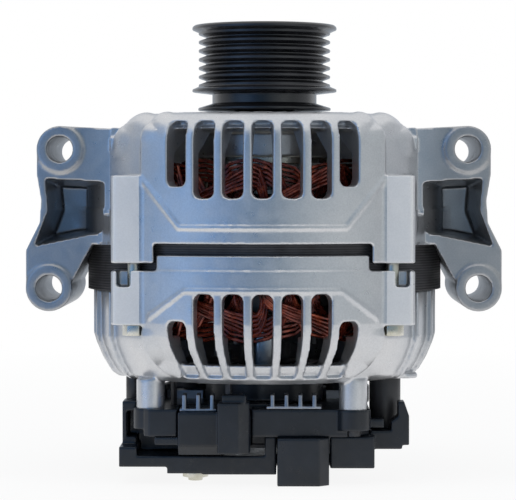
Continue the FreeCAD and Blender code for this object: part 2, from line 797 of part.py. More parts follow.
# Rear housing: the same drum below the core, with ribbed sides, a floor and a bearing hub.
def build_rear_housing():
    beyond = d.drum_radius + OUTSIDE
    floor = d.rear_floor
    inner_floor = floor + d.rear_floor_thickness
    shoulder = floor + d.rear_shoulder_height
    side = d.rear_side_radius - d.rib_height
    hub_low = d.rear_bearing_low - d.rear_lip
    # round shell below the core, with the bearing hub under its floor
    shell = shape_body("RearShell")
    turn(shell, [[
        (0, hub_low), (d.rear_hub_radius, hub_low), (d.rear_hub_radius, floor),
        (d.rear_foot_radius - 3, floor), (d.rear_foot_radius, floor + 2),
        (d.rear_foot_radius + 3.2, floor + 7), (side - 1, shoulder - 3), (side, shoulder + 1),
        (side, d.core_low), (0, d.core_low)]])
    # meridian ribs on both sides
    ribs = shape_body("RearRibs")
    rib = extrude(ribs, "Y", 0, d.rib_width, both([
        (d.rear_foot_radius - 6, floor), (d.rear_foot_radius - 0.5, floor),
        (d.rear_foot_radius + 2.4, floor + 2), (d.rear_foot_radius + 5.4, floor + 7),
        (d.rear_side_radius - 1, shoulder - 2.5), (d.rear_side_radius, shoulder + 1),
        (d.rear_side_radius, d.core_low), (d.rear_foot_radius - 6, d.core_low)]),
        swing=-2 * d.rib_pitch_angle)
    around(ribs, [rib], 5, d.rib_pitch_angle)
    # drum in front and behind, with the raised middle that faces the gap
    drum = shape_body("RearDrum")
    turn(drum, [[
        (0, floor), (d.rear_foot_radius - 2, floor), (d.rear_foot_radius + 1.5, floor + 2),
        (d.rear_foot_radius + 6.5, floor + 7), (d.drum_radius - 3, shoulder - 2),
        (d.drum_radius - 0.8, shoulder + 3), (d.drum_radius, shoulder + 8), (d.drum_radius, d.rear_rim),
        (d.drum_radius - d.rim_step, d.rear_rim), (d.drum_radius - d.rim_step, d.rear_centre_rim),
        (0, d.rear_centre_rim)]])
    extrude(drum, "Y", -d.drum_radius, 2 * d.drum_radius, both(
        [(d.centre_rim_half_width, d.rear_centre_rim + 1), (d.centre_rim_half_width, d.rear_rim),
         (d.drum_half_width, d.rear_rim)]
        + eased(d.drum_half_width, floor, d.rear_corner_radius, -1)
        + [(d.drum_half_width - d.rear_corner_radius, floor - 1), (beyond, floor - 1),
           (beyond, d.rear_centre_rim + 1)]), cut=True)
    line = raised_line("RearLine", ridge_band(
        d.drum_half_width - 3, d.ridge_inner_x - 2, d.rear_ridge_level - d.ridge_rise * 0.6,
        d.rear_ridge_level, d.ridge_width), shoulder + 8, d.rear_rim)
    # four bosses, open at one side where the shank of the bolt shows
    bosses = four_bosses("RearBosses", d.rear_boss_low, d.rear_rim)
    notch_low = d.rear_rim - d.boss_notch_height
    extrude(bosses, "Z", notch_low, d.boss_notch_height + 1, four_corners(box_outline(
        d.bolt_x + d.bolt_radius - 1.5, d.boss_outer_x - 2.2, d.boss_face_y - 8.0, d.boss_face_y + 2)),
        cut=True)
    # three legs that carry the rectifier, and the tab for the cable clip
    legs = shape_body("RearLegs")
    extrude(legs, "Z", d.leg_bottom, floor + 1 - d.leg_bottom, circles=[
        (x, y, d.leg_radius) for x, y in LEGS])
    tab = shape_body("RearTab")
    extrude(tab, "Z", floor, d.tab_thickness, [chamfered(
        d.tab_x - 12, d.tab_x + d.tab_radius, d.tab_y - d.tab_radius, d.tab_y + d.tab_radius,
        d.tab_radius * 0.5)])
    outside = fused("RearOutside", [shell, ribs, drum, line, bosses, legs, tab])
    # inside: seat of the core, room for the winding, seat of the bearing sleeve
    seat = d.rear_bearing_radius + d.sleeve_wall + 2 * d.fit_gap
    seat_top = d.rear_bearing_low + d.rear_bearing_width + 1
    cavity = shape_body("RearCavity")
    turn(cavity, [[
        (0, hub_low - 1), (d.rear_lip_radius, hub_low - 1), (d.rear_lip_radius, d.rear_bearing_low),
        (seat, d.rear_bearing_low), (seat, seat_top), (d.rear_hub_radius, seat_top),
        (d.rear_hub_radius, inner_floor), (d.rear_foot_radius - 4, inner_floor),
        (d.rear_cavity_radius, shoulder),
        (d.rear_cavity_radius, d.core_low), (d.core_radius + d.fit_gap, d.core_low),
        (d.core_radius + d.fit_gap, d.rear_centre_rim + 1), (0, d.rear_centre_rim + 1)]])
    hollow = d.drum_radius - d.rear_drum_wall
    for way in (-1, 1):
        turn(cavity, [[
            (way * (d.rear_cavity_radius - 3), shoulder + 3), (way * hollow, shoulder + 3),
            (way * hollow, d.core_low), (way * (d.rear_cavity_radius - 3), d.core_low)]],
            across="X", angle=d.drum_cavity_angle)
    vents = vent_slots("RearVents", inner_floor, inner_floor, d.rear_vent_high, d.rear_vent_short_high, [
        (0, floor), (d.rear_vent_inner, floor), (d.rear_vent_inner + 2.5, floor + 1.8),
        (d.rear_liner_radius, d.rear_liner_high), (d.rear_vent_inner - 4, d.rear_liner_high),
        (d.rear_vent_inner - 4, d.core_low + 1), (0, d.core_low + 1)])
    openings = windows("RearWindows", d.rear_hub_radius + 3, 3.5, d.rear_window_radius, 7.0,
                       floor - 1, inner_floor + 1, d.rear_window_count)
    screws = shape_body("RearScrewHoles")
    extrude(screws, "Z", d.leg_bottom - 1, d.leg_screw_depth + 1, circles=[
        (x, y, d.leg_screw_radius + d.fit_gap) for x, y in LEGS])
    bolts = bolt_holes("RearBoltHoles", d.bolt_radius + d.bolt_gap, d.rear_boss_low - 1, d.rear_rim + 1)
    heads = bolt_holes("RearHeadRoom", d.bolt_head_width / 2 + 1.2,
                       d.rear_boss_low - d.bolt_head_height - 3, d.rear_boss_low)
    inside = fused("RearInside", [cavity, vents, openings, screws, bolts, heads])
    return keep("rear_housing", cut_out("RearHousing", outside, inside))


# Stator: a slotted core between the housings, and the winding through its slots.
def build_stator_core():
    body = new_body("stator_core")
    turn(body, [ring_outline(d.core_bore_radius, d.core_radius, d.core_low, d.core_high)])
    half = d.slot_width / 2
    slot = extrude(body, "Z", d.core_low - 1, d.core_high - d.core_low + 2, [[
        (d.core_bore_radius - 2, -half), (d.slot_bottom_radius, -half),
        (d.slot_bottom_radius, half), (d.core_bore_radius - 2, half)]], cut=True)
    around(body, [slot], d.slot_count)


def many_sided(radius):
    """A polygon with one side to each slot."""
    count = SIZES["slot_count"]
    return [
        (radius * math.cos(math.radians(360 * (i + 0.5) / count)),
         radius * math.sin(math.radians(360 * (i + 0.5) / count))) for i in range(count)]


def build_stator_winding():
    body = new_body("stator_winding")
    lift = d.winding_lift
    low = d.core_low - lift
    high = d.core_high + lift
    rims = [many_sided(d.winding_outer_radius), many_sided(d.winding_inner_radius)]
    extrude(body, "Z", high, d.winding_high - high, rims)
    half = d.winding_width / 2
    bar = extrude(body, "Z", low, high - low, [[
        (d.winding_inner_radius, -half), (d.slot_bottom_radius - lift, -half),
        (d.slot_bottom_radius - lift, half), (d.winding_inner_radius, half)]])
    around(body, [bar], d.slot_count)
    extrude(body, "Z", d.winding_low, low - d.winding_low, rims)


# Rotor: two claw poles on a yoke round the field coil, with a fan on each outer face.
def build_claw_pole(label, outer, tip, way):
    """A disc with claws whose flanks and undersides taper to the tip."""
    body = new_body(label)
    inner = outer - way * d.pole_disc_thickness
    turn(body, [ring_outline(d.rotor_seat_radius + d.fit_gap, d.pole_disc_radius, inner, outer)])
    claw = turn(body, [[
        (d.pole_disc_radius - 3, outer), (d.pole_radius - 2, outer), (d.pole_radius, outer - way * 2),
        (d.pole_radius, tip), (d.pole_radius - d.claw_tip_thickness, tip),
        (d.pole_radius - d.claw_root_thickness, inner), (d.pole_disc_radius - 3, inner)]],
        angle=d.claw_angle)
    flank = extrude(body, "X", d.pole_disc_radius + 1, d.pole_radius - d.pole_disc_radius, both([
        (d.claw_root_width / 2, inner), (d.claw_root_width, inner), (d.claw_root_width, tip - way),
        (d.claw_tip_width / 2, tip - way), (d.claw_tip_width / 2, tip)]), cut=True)
    around(body, [claw, flank], d.claw_count)
    return body


def build_fan(label, plate_low, blade_low, blade_high):
    body = new_body(label)
    thick, bend = d.fan_thickness, d.fan_blade_bend
    turn(body, [ring_outline(d.fan_inner_radius, d.fan_outer_radius, plate_low, plate_low + thick)])
    near, far = d.fan_blade_inner_radius, d.fan_outer_radius - 0.8
    middle = (near + far) / 2
    blade = extrude(body, "Z", blade_low, blade_high - blade_low, [[
        (near, -bend), (middle, -bend * 0.3), (far, bend), (far, bend + thick),
        (middle, thick - bend * 0.3), (near, thick - bend)]])
    around(body, [blade], d.fan_blade_count)


def build_rotor():
    low, high = d.rotor_low, d.rotor_high
    build_claw_pole("front_claw_pole", high, low + d.claw_tip_gap, 1)
    rear = build_claw_pole("rear_claw_pole", low, high - d.claw_tip_gap, -1)
    place(rear, angle=180 / SIZES["claw_count"])
    yoke_low = low + d.pole_disc_thickness
    yoke_high = high - d.pole_disc_thickness
    tube("rotor_yoke", d.rotor_seat_radius + d.fit_gap, d.yoke_radius, yoke_low, yoke_high)
    bobbin = new_body("field_bobbin")
    core, rim = d.yoke_radius + d.fit_gap, d.coil_radius + 1
    drum = core + d.bobbin_wall
    coil_low, coil_high = yoke_low + d.bobbin_wall, yoke_high - d.bobbin_wall
    turn(bobbin, [[
        (core, yoke_low), (rim, yoke_low), (rim, coil_low), (drum, coil_low), (drum, coil_high),
        (rim, coil_high), (rim, yoke_high), (core, yoke_high)]])
    tube("field_coil", drum, d.coil_radius, coil_low, coil_high)
    build_fan("front_fan", high, high, d.front_fan_high)
    build_fan("rear_fan", low - d.fan_thickness, d.rear_fan_low, low)
    tube("spacer_sleeve", d.shaft_radius + d.fit_gap, d.spacer_radius, high, d.front_bearing_low)
    shaft = new_body("shaft")
    bearing_top = d.rear_bearing_low + d.rear_bearing_width
    turn(shaft, [[
        (0, d.shaft_low), (d.shaft_tail_radius - 0.8, d.shaft_low),
        (d.shaft_tail_radius, d.shaft_low + 0.8), (d.shaft_tail_radius, d.shaft_tail_top),
        (d.shaft_radius, d.shaft_tail_top + 0.6), (d.shaft_radius, bearing_top),
        (d.shaft_shoulder_radius, bearing_top), (d.shaft_shoulder_radius, low), (d.rotor_seat_radius, low),
        (d.rotor_seat_radius, high), (d.shaft_radius, high), (d.shaft_radius, d.nut_low - 1.5),
        (d.thread_radius, d.nut_low - 1), (d.thread_radius, d.shaft_high - 1),
        (d.thread_radius - 1, d.shaft_high), (0, d.shaft_high)]])
    tube("slip_ring_hub", d.shaft_tail_radius + d.fit_gap, d.slip_hub_radius,
         d.slip_hub_low, d.slip_hub_high)
    half = d.slip_ring_width / 2
    for name, level in (("upper", d.upper_ring_level), ("lower", d.lower_ring_level)):
        tube(name + "_slip_ring", d.slip_hub_radius + d.fit_gap, d.slip_ring_radius,
             level - half, level + half)


# Ball bearings: grooved rings, balls between them and a cage that spaces the balls.
def build_bearing(end, low, width, race, outer, ball):
    high = low + width
    middle = low + width / 2
    reach = ball + d.ball_clearance
    flat = reach * math.tan(math.radians(22.5))
    lip = ball * 0.52
    slope = reach + flat - lip
    ring = new_body(end + "_bearing_outer_ring")
    turn(ring, [[
        (race + lip, low), (outer, low), (outer, high), (race + lip, high), (race + lip, middle + slope),
        (race + reach, middle + flat), (race + reach, middle - flat), (race + lip, middle - slope)]])
    ring = new_body(end + "_bearing_inner_ring")
    bore = d.shaft_radius + d.fit_gap
    turn(ring, [[
        (bore, low), (race - lip, low), (race - lip, middle - slope), (race - reach, middle - flat),
        (race - reach, middle + flat), (race - lip, middle + slope), (race - lip, high), (bore, high)]])
    balls = []
    count = SIZES["ball_count"]
    for i in range(count):
        item = document.addObject("Part::Sphere", end.capitalize() + "Ball")
        bind(item, "Radius", ball)
        swing = math.radians(360 * i / count)
        place(item, race * math.cos(swing), race * math.sin(swing), middle)
        balls.append(item)
    group = document.addObject("Part::Compound", end.capitalize() + "Balls")
    group.Links = balls
    keep(end + "_bearing_balls", group)
    cage = new_body(end + "_bearing_cage")
    half = d.cage_wall / 2
    edge = ball + d.cage_edge
    turn(cage, [ring_outline(race - half, race + half, middle - edge, middle + edge)])
    hole = extrude(cage, "X", race - 2, 4, circles=[(0, middle, ball + 2 * d.ball_clearance)], cut=True)
    around(cage, [hole], d.ball_count)


def build_bearings():
    build_bearing("front", d.front_bearing_low, d.front_bearing_width, d.front_race_radius,
                  d.front_bearing_radius, d.front_ball_radius)
    build_bearing("rear", d.rear_bearing_low, d.rear_bearing_width, d.rear_race_radius,
                  d.rear_bearing_radius, d.rear_ball_radius)
    inner = d.rear_bearing_radius + d.fit_gap
    tube("rear_bearing_sleeve", inner, inner + d.sleeve_wall, d.rear_bearing_low,
         d.rear_bearing_low + d.rear_bearing_width)
    plate = new_body("retainer_plate")
    low = d.front_bearing_low - d.retainer_thickness
    turn(plate, [ring_outline(d.retainer_inner_radius, d.hub_radius, low, d.front_bearing_low)])
    hole = extrude(plate, "Z", low - 1, d.retainer_thickness + 2, circles=[
        (d.retainer_screw_circle, 0, d.retainer_screw_radius + d.fit_gap)], cut=True)
    around(plate, [hole], d.retainer_screw_count)
    screws = new_body("retainer_screws")
    head = extrude(screws, "Z", low, d.retainer_head_height, circles=[
        (d.retainer_screw_circle, 0, d.retainer_head_radius)], upward=False)
    shank = extrude(screws, "Z", low - 0.5, d.retainer_thickness + d.retainer_screw_depth, circles=[
        (d.retainer_screw_circle, 0, d.retainer_screw_radius)])
    around(screws, [head, shank], d.retainer_screw_count)


# Belt pulley with V grooves, and the nut that holds it on the shaft.
def build_pulley():
    body = new_body("pulley")
    bore = d.shaft_radius + d.fit_gap
    bearing_top = d.front_bearing_low + d.front_bearing_width
    tooth, flange = d.pulley_tooth_radius, d.pulley_flange_radius
    bottom = tooth - d.groove_depth
    slant = d.groove_depth * math.tan(math.radians(20))
    last = d.first_groove - (d.groove_count - 1) * d.groove_pitch
    corners = [
        (bore, bearing_top), (d.spacer_radius, bearing_top), (d.spacer_radius, d.pulley_low),
        (d.slinger_radius - 6, d.pulley_low), (d.slinger_radius, d.pulley_low + 0.6),
        (d.slinger_radius, d.pulley_low + 1.6), (d.pulley_neck_radius, d.pulley_neck_low),
        (d.pulley_neck_radius, last - 5.3), (flange, last - 4.3), (flange, last - 3.3), (tooth, last - 2.2)]
    for i in reversed(range(SIZES["groove_count"])):
        level = d.first_groove - i * d.groove_pitch
        corners += [
            (tooth, level - slant - 0.2), (bottom, level - 0.2), (bottom, level + 0.2),
            (tooth, level + slant + 0.2)]
    corners += [
        (tooth, d.first_groove + 2.2), (flange, d.first_groove + 3.3), (flange, d.pulley_top - 0.8),
        (flange - 0.8, d.pulley_top), (d.pulley_recess_radius, d.pulley_top),
        (d.pulley_recess_radius, d.nut_low), (bore, d.nut_low)]
    turn(body, [corners])
    nut = new_body("pulley_nut")
    extrude(nut, "Z", d.nut_low, d.nut_height, [hexagon(term(0), term(0), d.nut_width)],
            [(0, 0, d.thread_radius + d.fit_gap)])


# Four through bolts with their heads under the rear housing.
def build_through_bolts():
    for number, (sx, sy) in enumerate(QUADRANTS, start=1):
        bolt = new_body("through_bolt_" + str(number))
        x, y, low = sx * d.bolt_x, sy * d.bolt_y, d.rear_boss_low
        extrude(bolt, "Z", low, d.bolt_head_height, [hexagon(x, y, d.bolt_head_width)], upward=False)
        extrude(bolt, "Z", low - 1, d.bolt_top - low + 1, circles=[(x, y, d.bolt_radius)])


# Brush gear and regulator, in one moulded housing with the first connector.
def build_regulator():
    body = new_body("regulator_housing")
    front = -d.regulator_front_y
    extrude(body, "Z", d.brush_box_low, d.brush_box_high - d.brush_box_low, [box_outline(
        -d.brush_box_half_width, d.brush_box_half_width, -d.brush_box_back_y, -d.brush_box_front_y)])
    left, split = -d.regulator_left_x, -d.connector_left_x + 1
    low, high = d.regulator_low, d.regulator_high
    # block with a slanting underside, and the lower part beside it
    extrude(body, "X", left, split - left, [[
        (front, high), (front, low + 3.8), (front + 3.5, low), (front + 14, low),
        (front + 14, low + 1.8), (front + 20, low + 1.8), (front + 20, high)]])
    extrude(body, "Z", low + 1.8, high - low - 1.8, [box_outline(
        split - 1, -d.regulator_right_x, front, front + 20)])
    extrude(body, "Z", low + 4.1, d.carrier_low - low - 4.1, [box_outline(
        left - 9.3, left + 1, front + 2, front + 16)])
    # connector: a beveled box with a shoulder, open downward
    near = -d.connector_front_y
    right, back = -d.connector_right_x, near + d.connector_depth
    extrude(body, "Z", d.connector_low, d.connector_high - d.connector_low, [[
        (-d.connector_left_x, near), (right - 4.1, near), (right, near + 4), (right, back),
        (-d.connector_left_x, back)]])
    extrude(body, "Z", d.connector_high, d.connector_shoulder, [box_outline(
        -d.connector_left_x + 1.8, right - 1.2, near + 1.8, back - 1)])
    wall = d.connector_wall
    extrude(body, "Z", d.connector_low - 1, d.socket_depth + 1, [[
        (-d.connector_left_x + wall, near + wall), (right - 4.8, near + wall), (right - wall, near + 4.8),
        (right - wall, back - wall), (-d.connector_left_x + wall, back - wall)]], cut=True)
    # channels for the brushes
    room = d.brush_clearance
    wide, tall, back_end = d.brush_half_width, d.brush_half_height, d.spring_back_y + room
    for level in (d.upper_ring_level, d.lower_ring_level):
        extrude(body, "Y", -back_end, back_end - d.brush_box_front_y + 1, [box_outline(
            -wide - room, wide + room, level - tall - room, level + tall + room)], cut=True)
    pins = new_body("regulator_pins")
    roof = d.connector_low + d.socket_depth
    centre = (right - d.connector_left_x) / 2
    extrude(pins, "Z", roof, d.socket_depth - 2.5, circles=[
        (centre + step * d.pin_spacing, back - d.pin_back_y, d.pin_radius) for step in (-1, 0, 1)],
        upward=False)
    sink = new_body("regulator_heat_sink")
    build_finned_plate(sink, left + 0.5, -d.connector_left_x - 0.6, d.regulator_high,
                       [-d.left_fin_x, -d.left_fin_x + d.fin_spacing, -d.left_fin_x + 2 * d.fin_spacing])
    for name, level in (("upper", d.upper_ring_level), ("lower", d.lower_ring_level)):
        brush = new_body(name + "_brush")
        extrude(brush, "Y", -d.brush_back_y, d.brush_back_y - d.slip_ring_radius + 3, [box_outline(
            -wide, wide, level - tall, level + tall)])
        worn = d.slip_ring_radius + d.brush_gap
        turn(brush, [ring_outline(0, worn, level - 5, level + 5)], cut=True)
        spring = new_body(name + "_brush_spring")
        extrude(spring, "Y", -d.spring_back_y, d.spring_back_y - d.brush_back_y, circles=[
            (0, level, d.spring_radius), (0, level, d.spring_radius - d.spring_wall)])


def build_finned_plate(body, low_x, high_x, level, fins):
    """A thin plate with upright cooling fins."""
    front, half = -d.fin_front_y, d.fin_width / 2
    back = front + d.fin_length
    extrude(body, "Z", level, d.fin_plate_thickness, [box_outline(low_x, high_x, front, back)])
    extrude(body, "Z", level, d.fin_top - level, [
        box_outline(x - half, x + half, front, back) for x in fins])


# Rectifier: a moulded carrier under the legs, two plates with diodes, and leads from the winding.
def build_rectifier():
    body = new_body("rectifier_carrier")
    low, high = d.carrier_low, d.carrier_high
    front, back = -d.carrier_front_y, d.carrier_back_y
    left, right = -d.carrier_left_x, d.carrier_right_x
    extrude(body, "Z", low, high - low, [[
        (left + 2, front), (right - 9, front), (right - 5.5, front + 2), (right, front + 10),
        (right, back - 18), (right - 16, back), (left + 16, back), (left, back - 18), (left, front + 2)]])
    extrude(body, "Z", d.carrier_boss_low, high - d.carrier_boss_low, circles=[
        (x, y, d.carrier_boss_radius) for x, y in LEGS])
    # lug towards the right hand clip
    extrude(body, "Z", d.carrier_boss_low, 3.5, [box_outline(
        right - 1, right + 6, -d.capacitor_front_y, -30)])
    # opening for the regulator, the brush box and the end of the shaft
    gap = d.carrier_gap
    extrude(body, "Z", low - 1, high - low + 2, [[
        (-d.regulator_left_x - gap, front - 1), (-d.regulator_right_x + gap, front - 1),
        (-d.regulator_right_x + gap, -d.brush_box_back_y - gap),
        (d.brush_box_half_width + gap, -d.brush_box_back_y - gap), (d.brush_box_half_width + gap, -8),
        (-d.brush_box_half_width - gap, -8), (-d.brush_box_half_width - gap, front + 23),
        (-d.regulator_left_x - gap, front + 23)]], cut=True)
    extrude(body, "Z", low - 1, high - low + 2, circles=[(0, 0, d.carrier_bore_radius)], cut=True)
    # seats for the legs, and the screws from below
    extrude(body, "Z", d.leg_bottom, high - d.leg_bottom + 1, circles=[
        (x, y, d.leg_radius + 0.4) for x, y in LEGS], cut=True)
    extrude(body, "Z", low - 1, d.carrier_boss_low - low + 1, circles=[
        (x, y, d.carrier_screw_head_radius + 0.4) for x, y in LEGS], cut=True)
    extrude(body, "Z", low - 1, high - low + 2, circles=[
        (x, y, d.leg_screw_radius + d.fit_gap) for x, y in LEGS]
        + [(d.stud_x, d.stud_y, d.stud_radius + d.stud_clearance)], cut=True)
    screws = new_body("carrier_screws")
    seat = d.carrier_boss_low
    extrude(screws, "Z", seat, d.carrier_screw_head_height, circles=[
        (x, y, d.carrier_screw_head_radius) for x, y in LEGS], upward=False)
    extrude(screws, "Z", seat - 0.5, d.leg_bottom + d.leg_screw_depth - seat - 0.5, circles=[
        (x, y, d.leg_screw_radius) for x, y in LEGS])
    fins = new_body("rectifier_fins")
    build_finned_plate(fins, d.right_fin_x - 2.4, d.right_fin_x + 3 * d.fin_spacing + 2.8, high,
                       [d.right_fin_x + i * d.fin_spacing for i in range(4)])
    plates = (("positive", high, d.positive_plate_thickness, 1, POSITIVE_DIODES),
              ("negative", d.rear_floor, d.negative_plate_thickness, -1, NEGATIVE_DIODES))
    for name, level, thickness, way, angles in plates:
        plate = new_body(name + "_plate")
        far = level + way * thickness
        turn(plate, [ring_outline(d.plate_inner_radius, d.plate_outer_radius, level, far)],
             across="X", angle=d.plate_angle)
        diodes = new_body(name + "_diodes")
        extrude(diodes, "Z", far, d.diode_height, circles=[
            (d.diode_circle * math.cos(math.radians(a)), d.diode_circle * math.sin(math.radians(a)),
             d.diode_radius) for a in angles], upward=way > 0)
        if way > 0:
            extrude(plate, "Z", level - 1, thickness + 2, circles=[
                (d.stud_x, d.stud_y, d.stud_radius + d.fit_gap)], cut=True)
    leads = new_body("stator_leads")
    near, far, wide = d.lead_circle - 0.8, d.lead_circle + 0.8, d.winding_inner_radius + 2.4
    bend = d.winding_low - 4
    outline = [
        (wide, d.winding_low), (wide, bend - 1), (far, bend - 1), (far, high), (near, high),
        (near, bend + 0.6), (wide - 1.6, bend + 0.6), (wide - 1.6, d.winding_low)]
    for angle in STATOR_LEADS:
        extrude(leads, "Y", 0, d.lead_width, [outline], swing=term(-angle))


# Capacitor and a post that hang from the floor of the rear housing.
def build_small_parts():
    keep("capacitor", rod("Capacitor", d.capacitor_x, -d.capacitor_y, d.capacitor_radius,
                          d.clip_base_high, d.rear_floor))
    keep("corner_post", rod("CornerPost", -d.post_x, -d.post_y, d.post_radius, d.post_low, d.rear_floor))
    # output stud through the positive plate, with its nut under the cover
    stud = new_body("output_stud")
    seat = d.carrier_high + d.positive_plate_thickness
    extrude(stud, "Z", seat, d.stud_head_height, [hexagon(d.stud_x, d.stud_y, d.stud_head_width)])
    extrude(stud, "Z", 0, seat + 1, circles=[(d.stud_x, d.stud_y, d.stud_radius)])
    nut = new_body("output_nut")
    extrude(nut, "Z", d.cover_low, d.output_nut_height, [hexagon(d.stud_x, d.stud_y, d.output_nut_width)],
            [(d.stud_x, d.stud_y, d.stud_radius + d.fit_gap)], upward=False)
    x, y = -d.cover_stud_x, -d.cover_stud_y
    keep("cover_stud", rod("CoverStud", x, y, d.cover_stud_radius, 0, d.cover_high))
    nut = new_body("cover_nut")
    extrude(nut, "Z", d.cover_lip_low, d.cover_nut_height, [hexagon(x, y, d.cover_nut_width)],
            [(x, y, d.cover_stud_radius + d.fit_gap)], upward=False)


# Second connector: a box open downward, whose rim the unit stands on.
def build_second_socket():
    body = new_body("second_socket")
    left, right = d.socket_left_x, d.socket_right_x
    near, back = -d.socket_front_y, -d.socket_back_y
    wall = d.connector_wall
    extrude(body, "Z", 0, d.carrier_low, [[
        (left, near), (right - 3.9, near), (right, near + 4), (right, back), (left, back)]])
    roof = d.second_socket_depth
    extrude(body, "Z", -1, roof + 1, [[
        (left + wall, near + wall), (right - 4.6, near + wall), (right - wall, near + 4.7),
        (right - wall, back - wall), (left + wall, back - wall)]], cut=True)
    pins = new_body("second_socket_pins")
    extrude(pins, "Z", roof, d.second_pin_length, circles=[
        ((left + right) / 2 + step * d.second_pin_spacing, (near + back) / 2, d.pin_radius)
        for step in (-1, 0, 1)], upward=False)


# Rear cover: an open moulded frame with clips at both sides.
def build_rear_cover():
    body = new_body("rear_cover")
    low, high = d.cover_low, d.cover_high
    left, right = -d.cover_left_x, d.cover_right_x
    front, back = -d.cover_front_y, d.cover_back_y
    gap = d.carrier_gap
    extrude(body, "Z", low, high - low, [[
        (left, front), (d.socket_left_x - gap, front), (d.socket_left_x - gap, -d.socket_back_y + gap),
        (d.socket_right_x + gap, -d.socket_back_y + gap), (d.socket_right_x + gap, front),
        (right - 2, front), (right, front + 2), (right, back - 18), (right - 16, back), (left + 30, back),
        (left, back - 30)]])
    # step under the front edge, and the lip that carries the stud
    extrude(body, "Z", d.cover_step_low, low - d.cover_step_low + 1, [box_outline(
        -d.cover_step_x, d.socket_left_x - gap, front, front + 24)])
    extrude(body, "Z", d.cover_lip_low, low - d.cover_lip_low + 1, [box_outline(
        -d.cover_lip_x, -d.cover_step_x + 1, front, front + 22)])
    extrude(body, "Z", d.cover_step_low - 1, d.cover_lip_low - d.cover_step_low + 1, circles=[
        (-d.cover_stud_x, -d.cover_stud_y, d.cover_nut_width / math.sqrt(3) + gap)], cut=True)
    # left wall and the tower of the left clip
    extrude(body, "Z", high - 1, d.cover_wall_high - high + 1, [box_outline(
        left, left + 7, front, front + 24)])
    tower = left + 0.7
    extrude(body, "Z", high - 1, d.left_clip_high - high + 1, [box_outline(
        tower, tower + 5.5, front + 10, front + 24)])
    extrude(body, "Y", front + 9, 16, [box_outline(
        tower + 1.8, tower + 6, d.cover_wall_high + 3, d.left_clip_high - 4)], cut=True)
    # body beside the socket, the base of the right clip and the clip itself
    extrude(body, "Z", low - 0.5, d.carrier_low - low + 0.5, [box_outline(
        d.socket_right_x + gap, d.carrier_right_x + 2, front, front + 24)])
    base = d.carrier_right_x + gap
    extrude(body, "Z", d.clip_base_low, d.clip_base_high - d.clip_base_low, [box_outline(
        base, d.capacitor_x + d.capacitor_radius, -d.capacitor_front_y, -d.capacitor_y + 4)])
    clip, tip, foot = d.right_clip_x, d.right_clip_high, d.clip_base_low + 1.6
    extrude(body, "Y", -d.capacitor_front_y, d.right_clip_width, [[
        (clip - 7.3, foot), (clip, foot), (clip, tip - 5.8), (clip - 2, tip), (clip - 4.5, tip),
        (clip - 4.5, tip - 5.8), (clip - 7.3, tip - 8)]])
    # column beside the see-through gap, and two posts at the back
    extrude(body, "Z", high - 1, d.carrier_low - high + 1, [box_outline(
        d.column_x, d.socket_left_x - gap, front, front + 8)], [
        (side * d.back_post_x, d.back_post_y, d.back_post_radius) for side in (1, -1)])
    # air opening under the shaft, and the holes for both studs
    extrude(body, "Z", low - 1, high - low + 2, circles=[
        (0, 0, d.cover_bore_radius), (d.stud_x, d.stud_y, d.stud_radius + d.stud_clearance)], cut=True)
    extrude(body, "Z", d.cover_step_low - 1, high - d.cover_step_low + 2, circles=[
        (-d.cover_stud_x, -d.cover_stud_y, d.cover_stud_radius + d.fit_gap)], cut=True)


build_drive_end_housing()
build_rear_housing()
build_stator_core()
build_stator_winding()
build_rotor()
build_bearings()
build_pulley()
build_through_bolts()
build_regulator()
build_rectifier()
build_small_parts()
build_second_socket()
build_rear_cover()


def check_and_write():
    document.recompute()
    for item in document.Objects:
        if "Invalid" in item.State or "Error" in item.State:
            raise RuntimeError("failed object: " + item.Label + " " + str(item.State))
    for label, item in NODES.items():
        shape = item.Shape
        if shape.isNull() or not shape.isValid() or not shape.Solids:
            raise RuntimeError("bad shape: " + label)
    os.makedirs("parts", exist_ok=True)
    for label, item in NODES.items():
        item.Shape.exportStep(os.path.join("parts", label + ".step"))


check_and_write()
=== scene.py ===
import json
import math

import bmesh
import bpy
import numpy as np
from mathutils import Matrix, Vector


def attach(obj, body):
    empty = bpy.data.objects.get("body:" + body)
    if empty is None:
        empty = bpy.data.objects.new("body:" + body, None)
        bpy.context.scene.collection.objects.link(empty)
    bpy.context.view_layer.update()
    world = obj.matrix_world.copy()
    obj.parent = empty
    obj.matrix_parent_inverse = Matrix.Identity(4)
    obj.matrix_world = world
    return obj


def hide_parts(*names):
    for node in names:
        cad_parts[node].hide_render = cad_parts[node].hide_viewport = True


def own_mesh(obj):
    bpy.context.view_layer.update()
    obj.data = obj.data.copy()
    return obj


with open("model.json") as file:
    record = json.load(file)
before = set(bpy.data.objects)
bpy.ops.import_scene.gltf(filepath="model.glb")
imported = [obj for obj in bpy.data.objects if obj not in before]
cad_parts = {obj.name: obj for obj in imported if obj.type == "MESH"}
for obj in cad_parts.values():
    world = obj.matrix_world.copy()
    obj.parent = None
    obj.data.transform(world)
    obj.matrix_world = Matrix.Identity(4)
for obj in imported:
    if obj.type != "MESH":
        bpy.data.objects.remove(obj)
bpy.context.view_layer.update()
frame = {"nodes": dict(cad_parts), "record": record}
MM = 0.001
FULL_TURN = 2 * math.pi


# Basic tools: objects and meshes
def new_object(name, mesh):
    piece = bpy.data.objects.new(name, mesh)
    bpy.context.scene.collection.objects.link(piece)
    return piece


def mesh_of(name, points, faces, smooth_angle=35):
    mesh = bpy.data.meshes.new(name)
    mesh.from_pydata(points, [], faces)
    mesh.validate()
    mesh.update()
    shade(mesh, smooth_angle)
    return mesh


def shade(mesh, smooth_angle):
    mesh.shade_smooth()
    mesh.set_sharp_from_angle(angle=math.radians(smooth_angle))


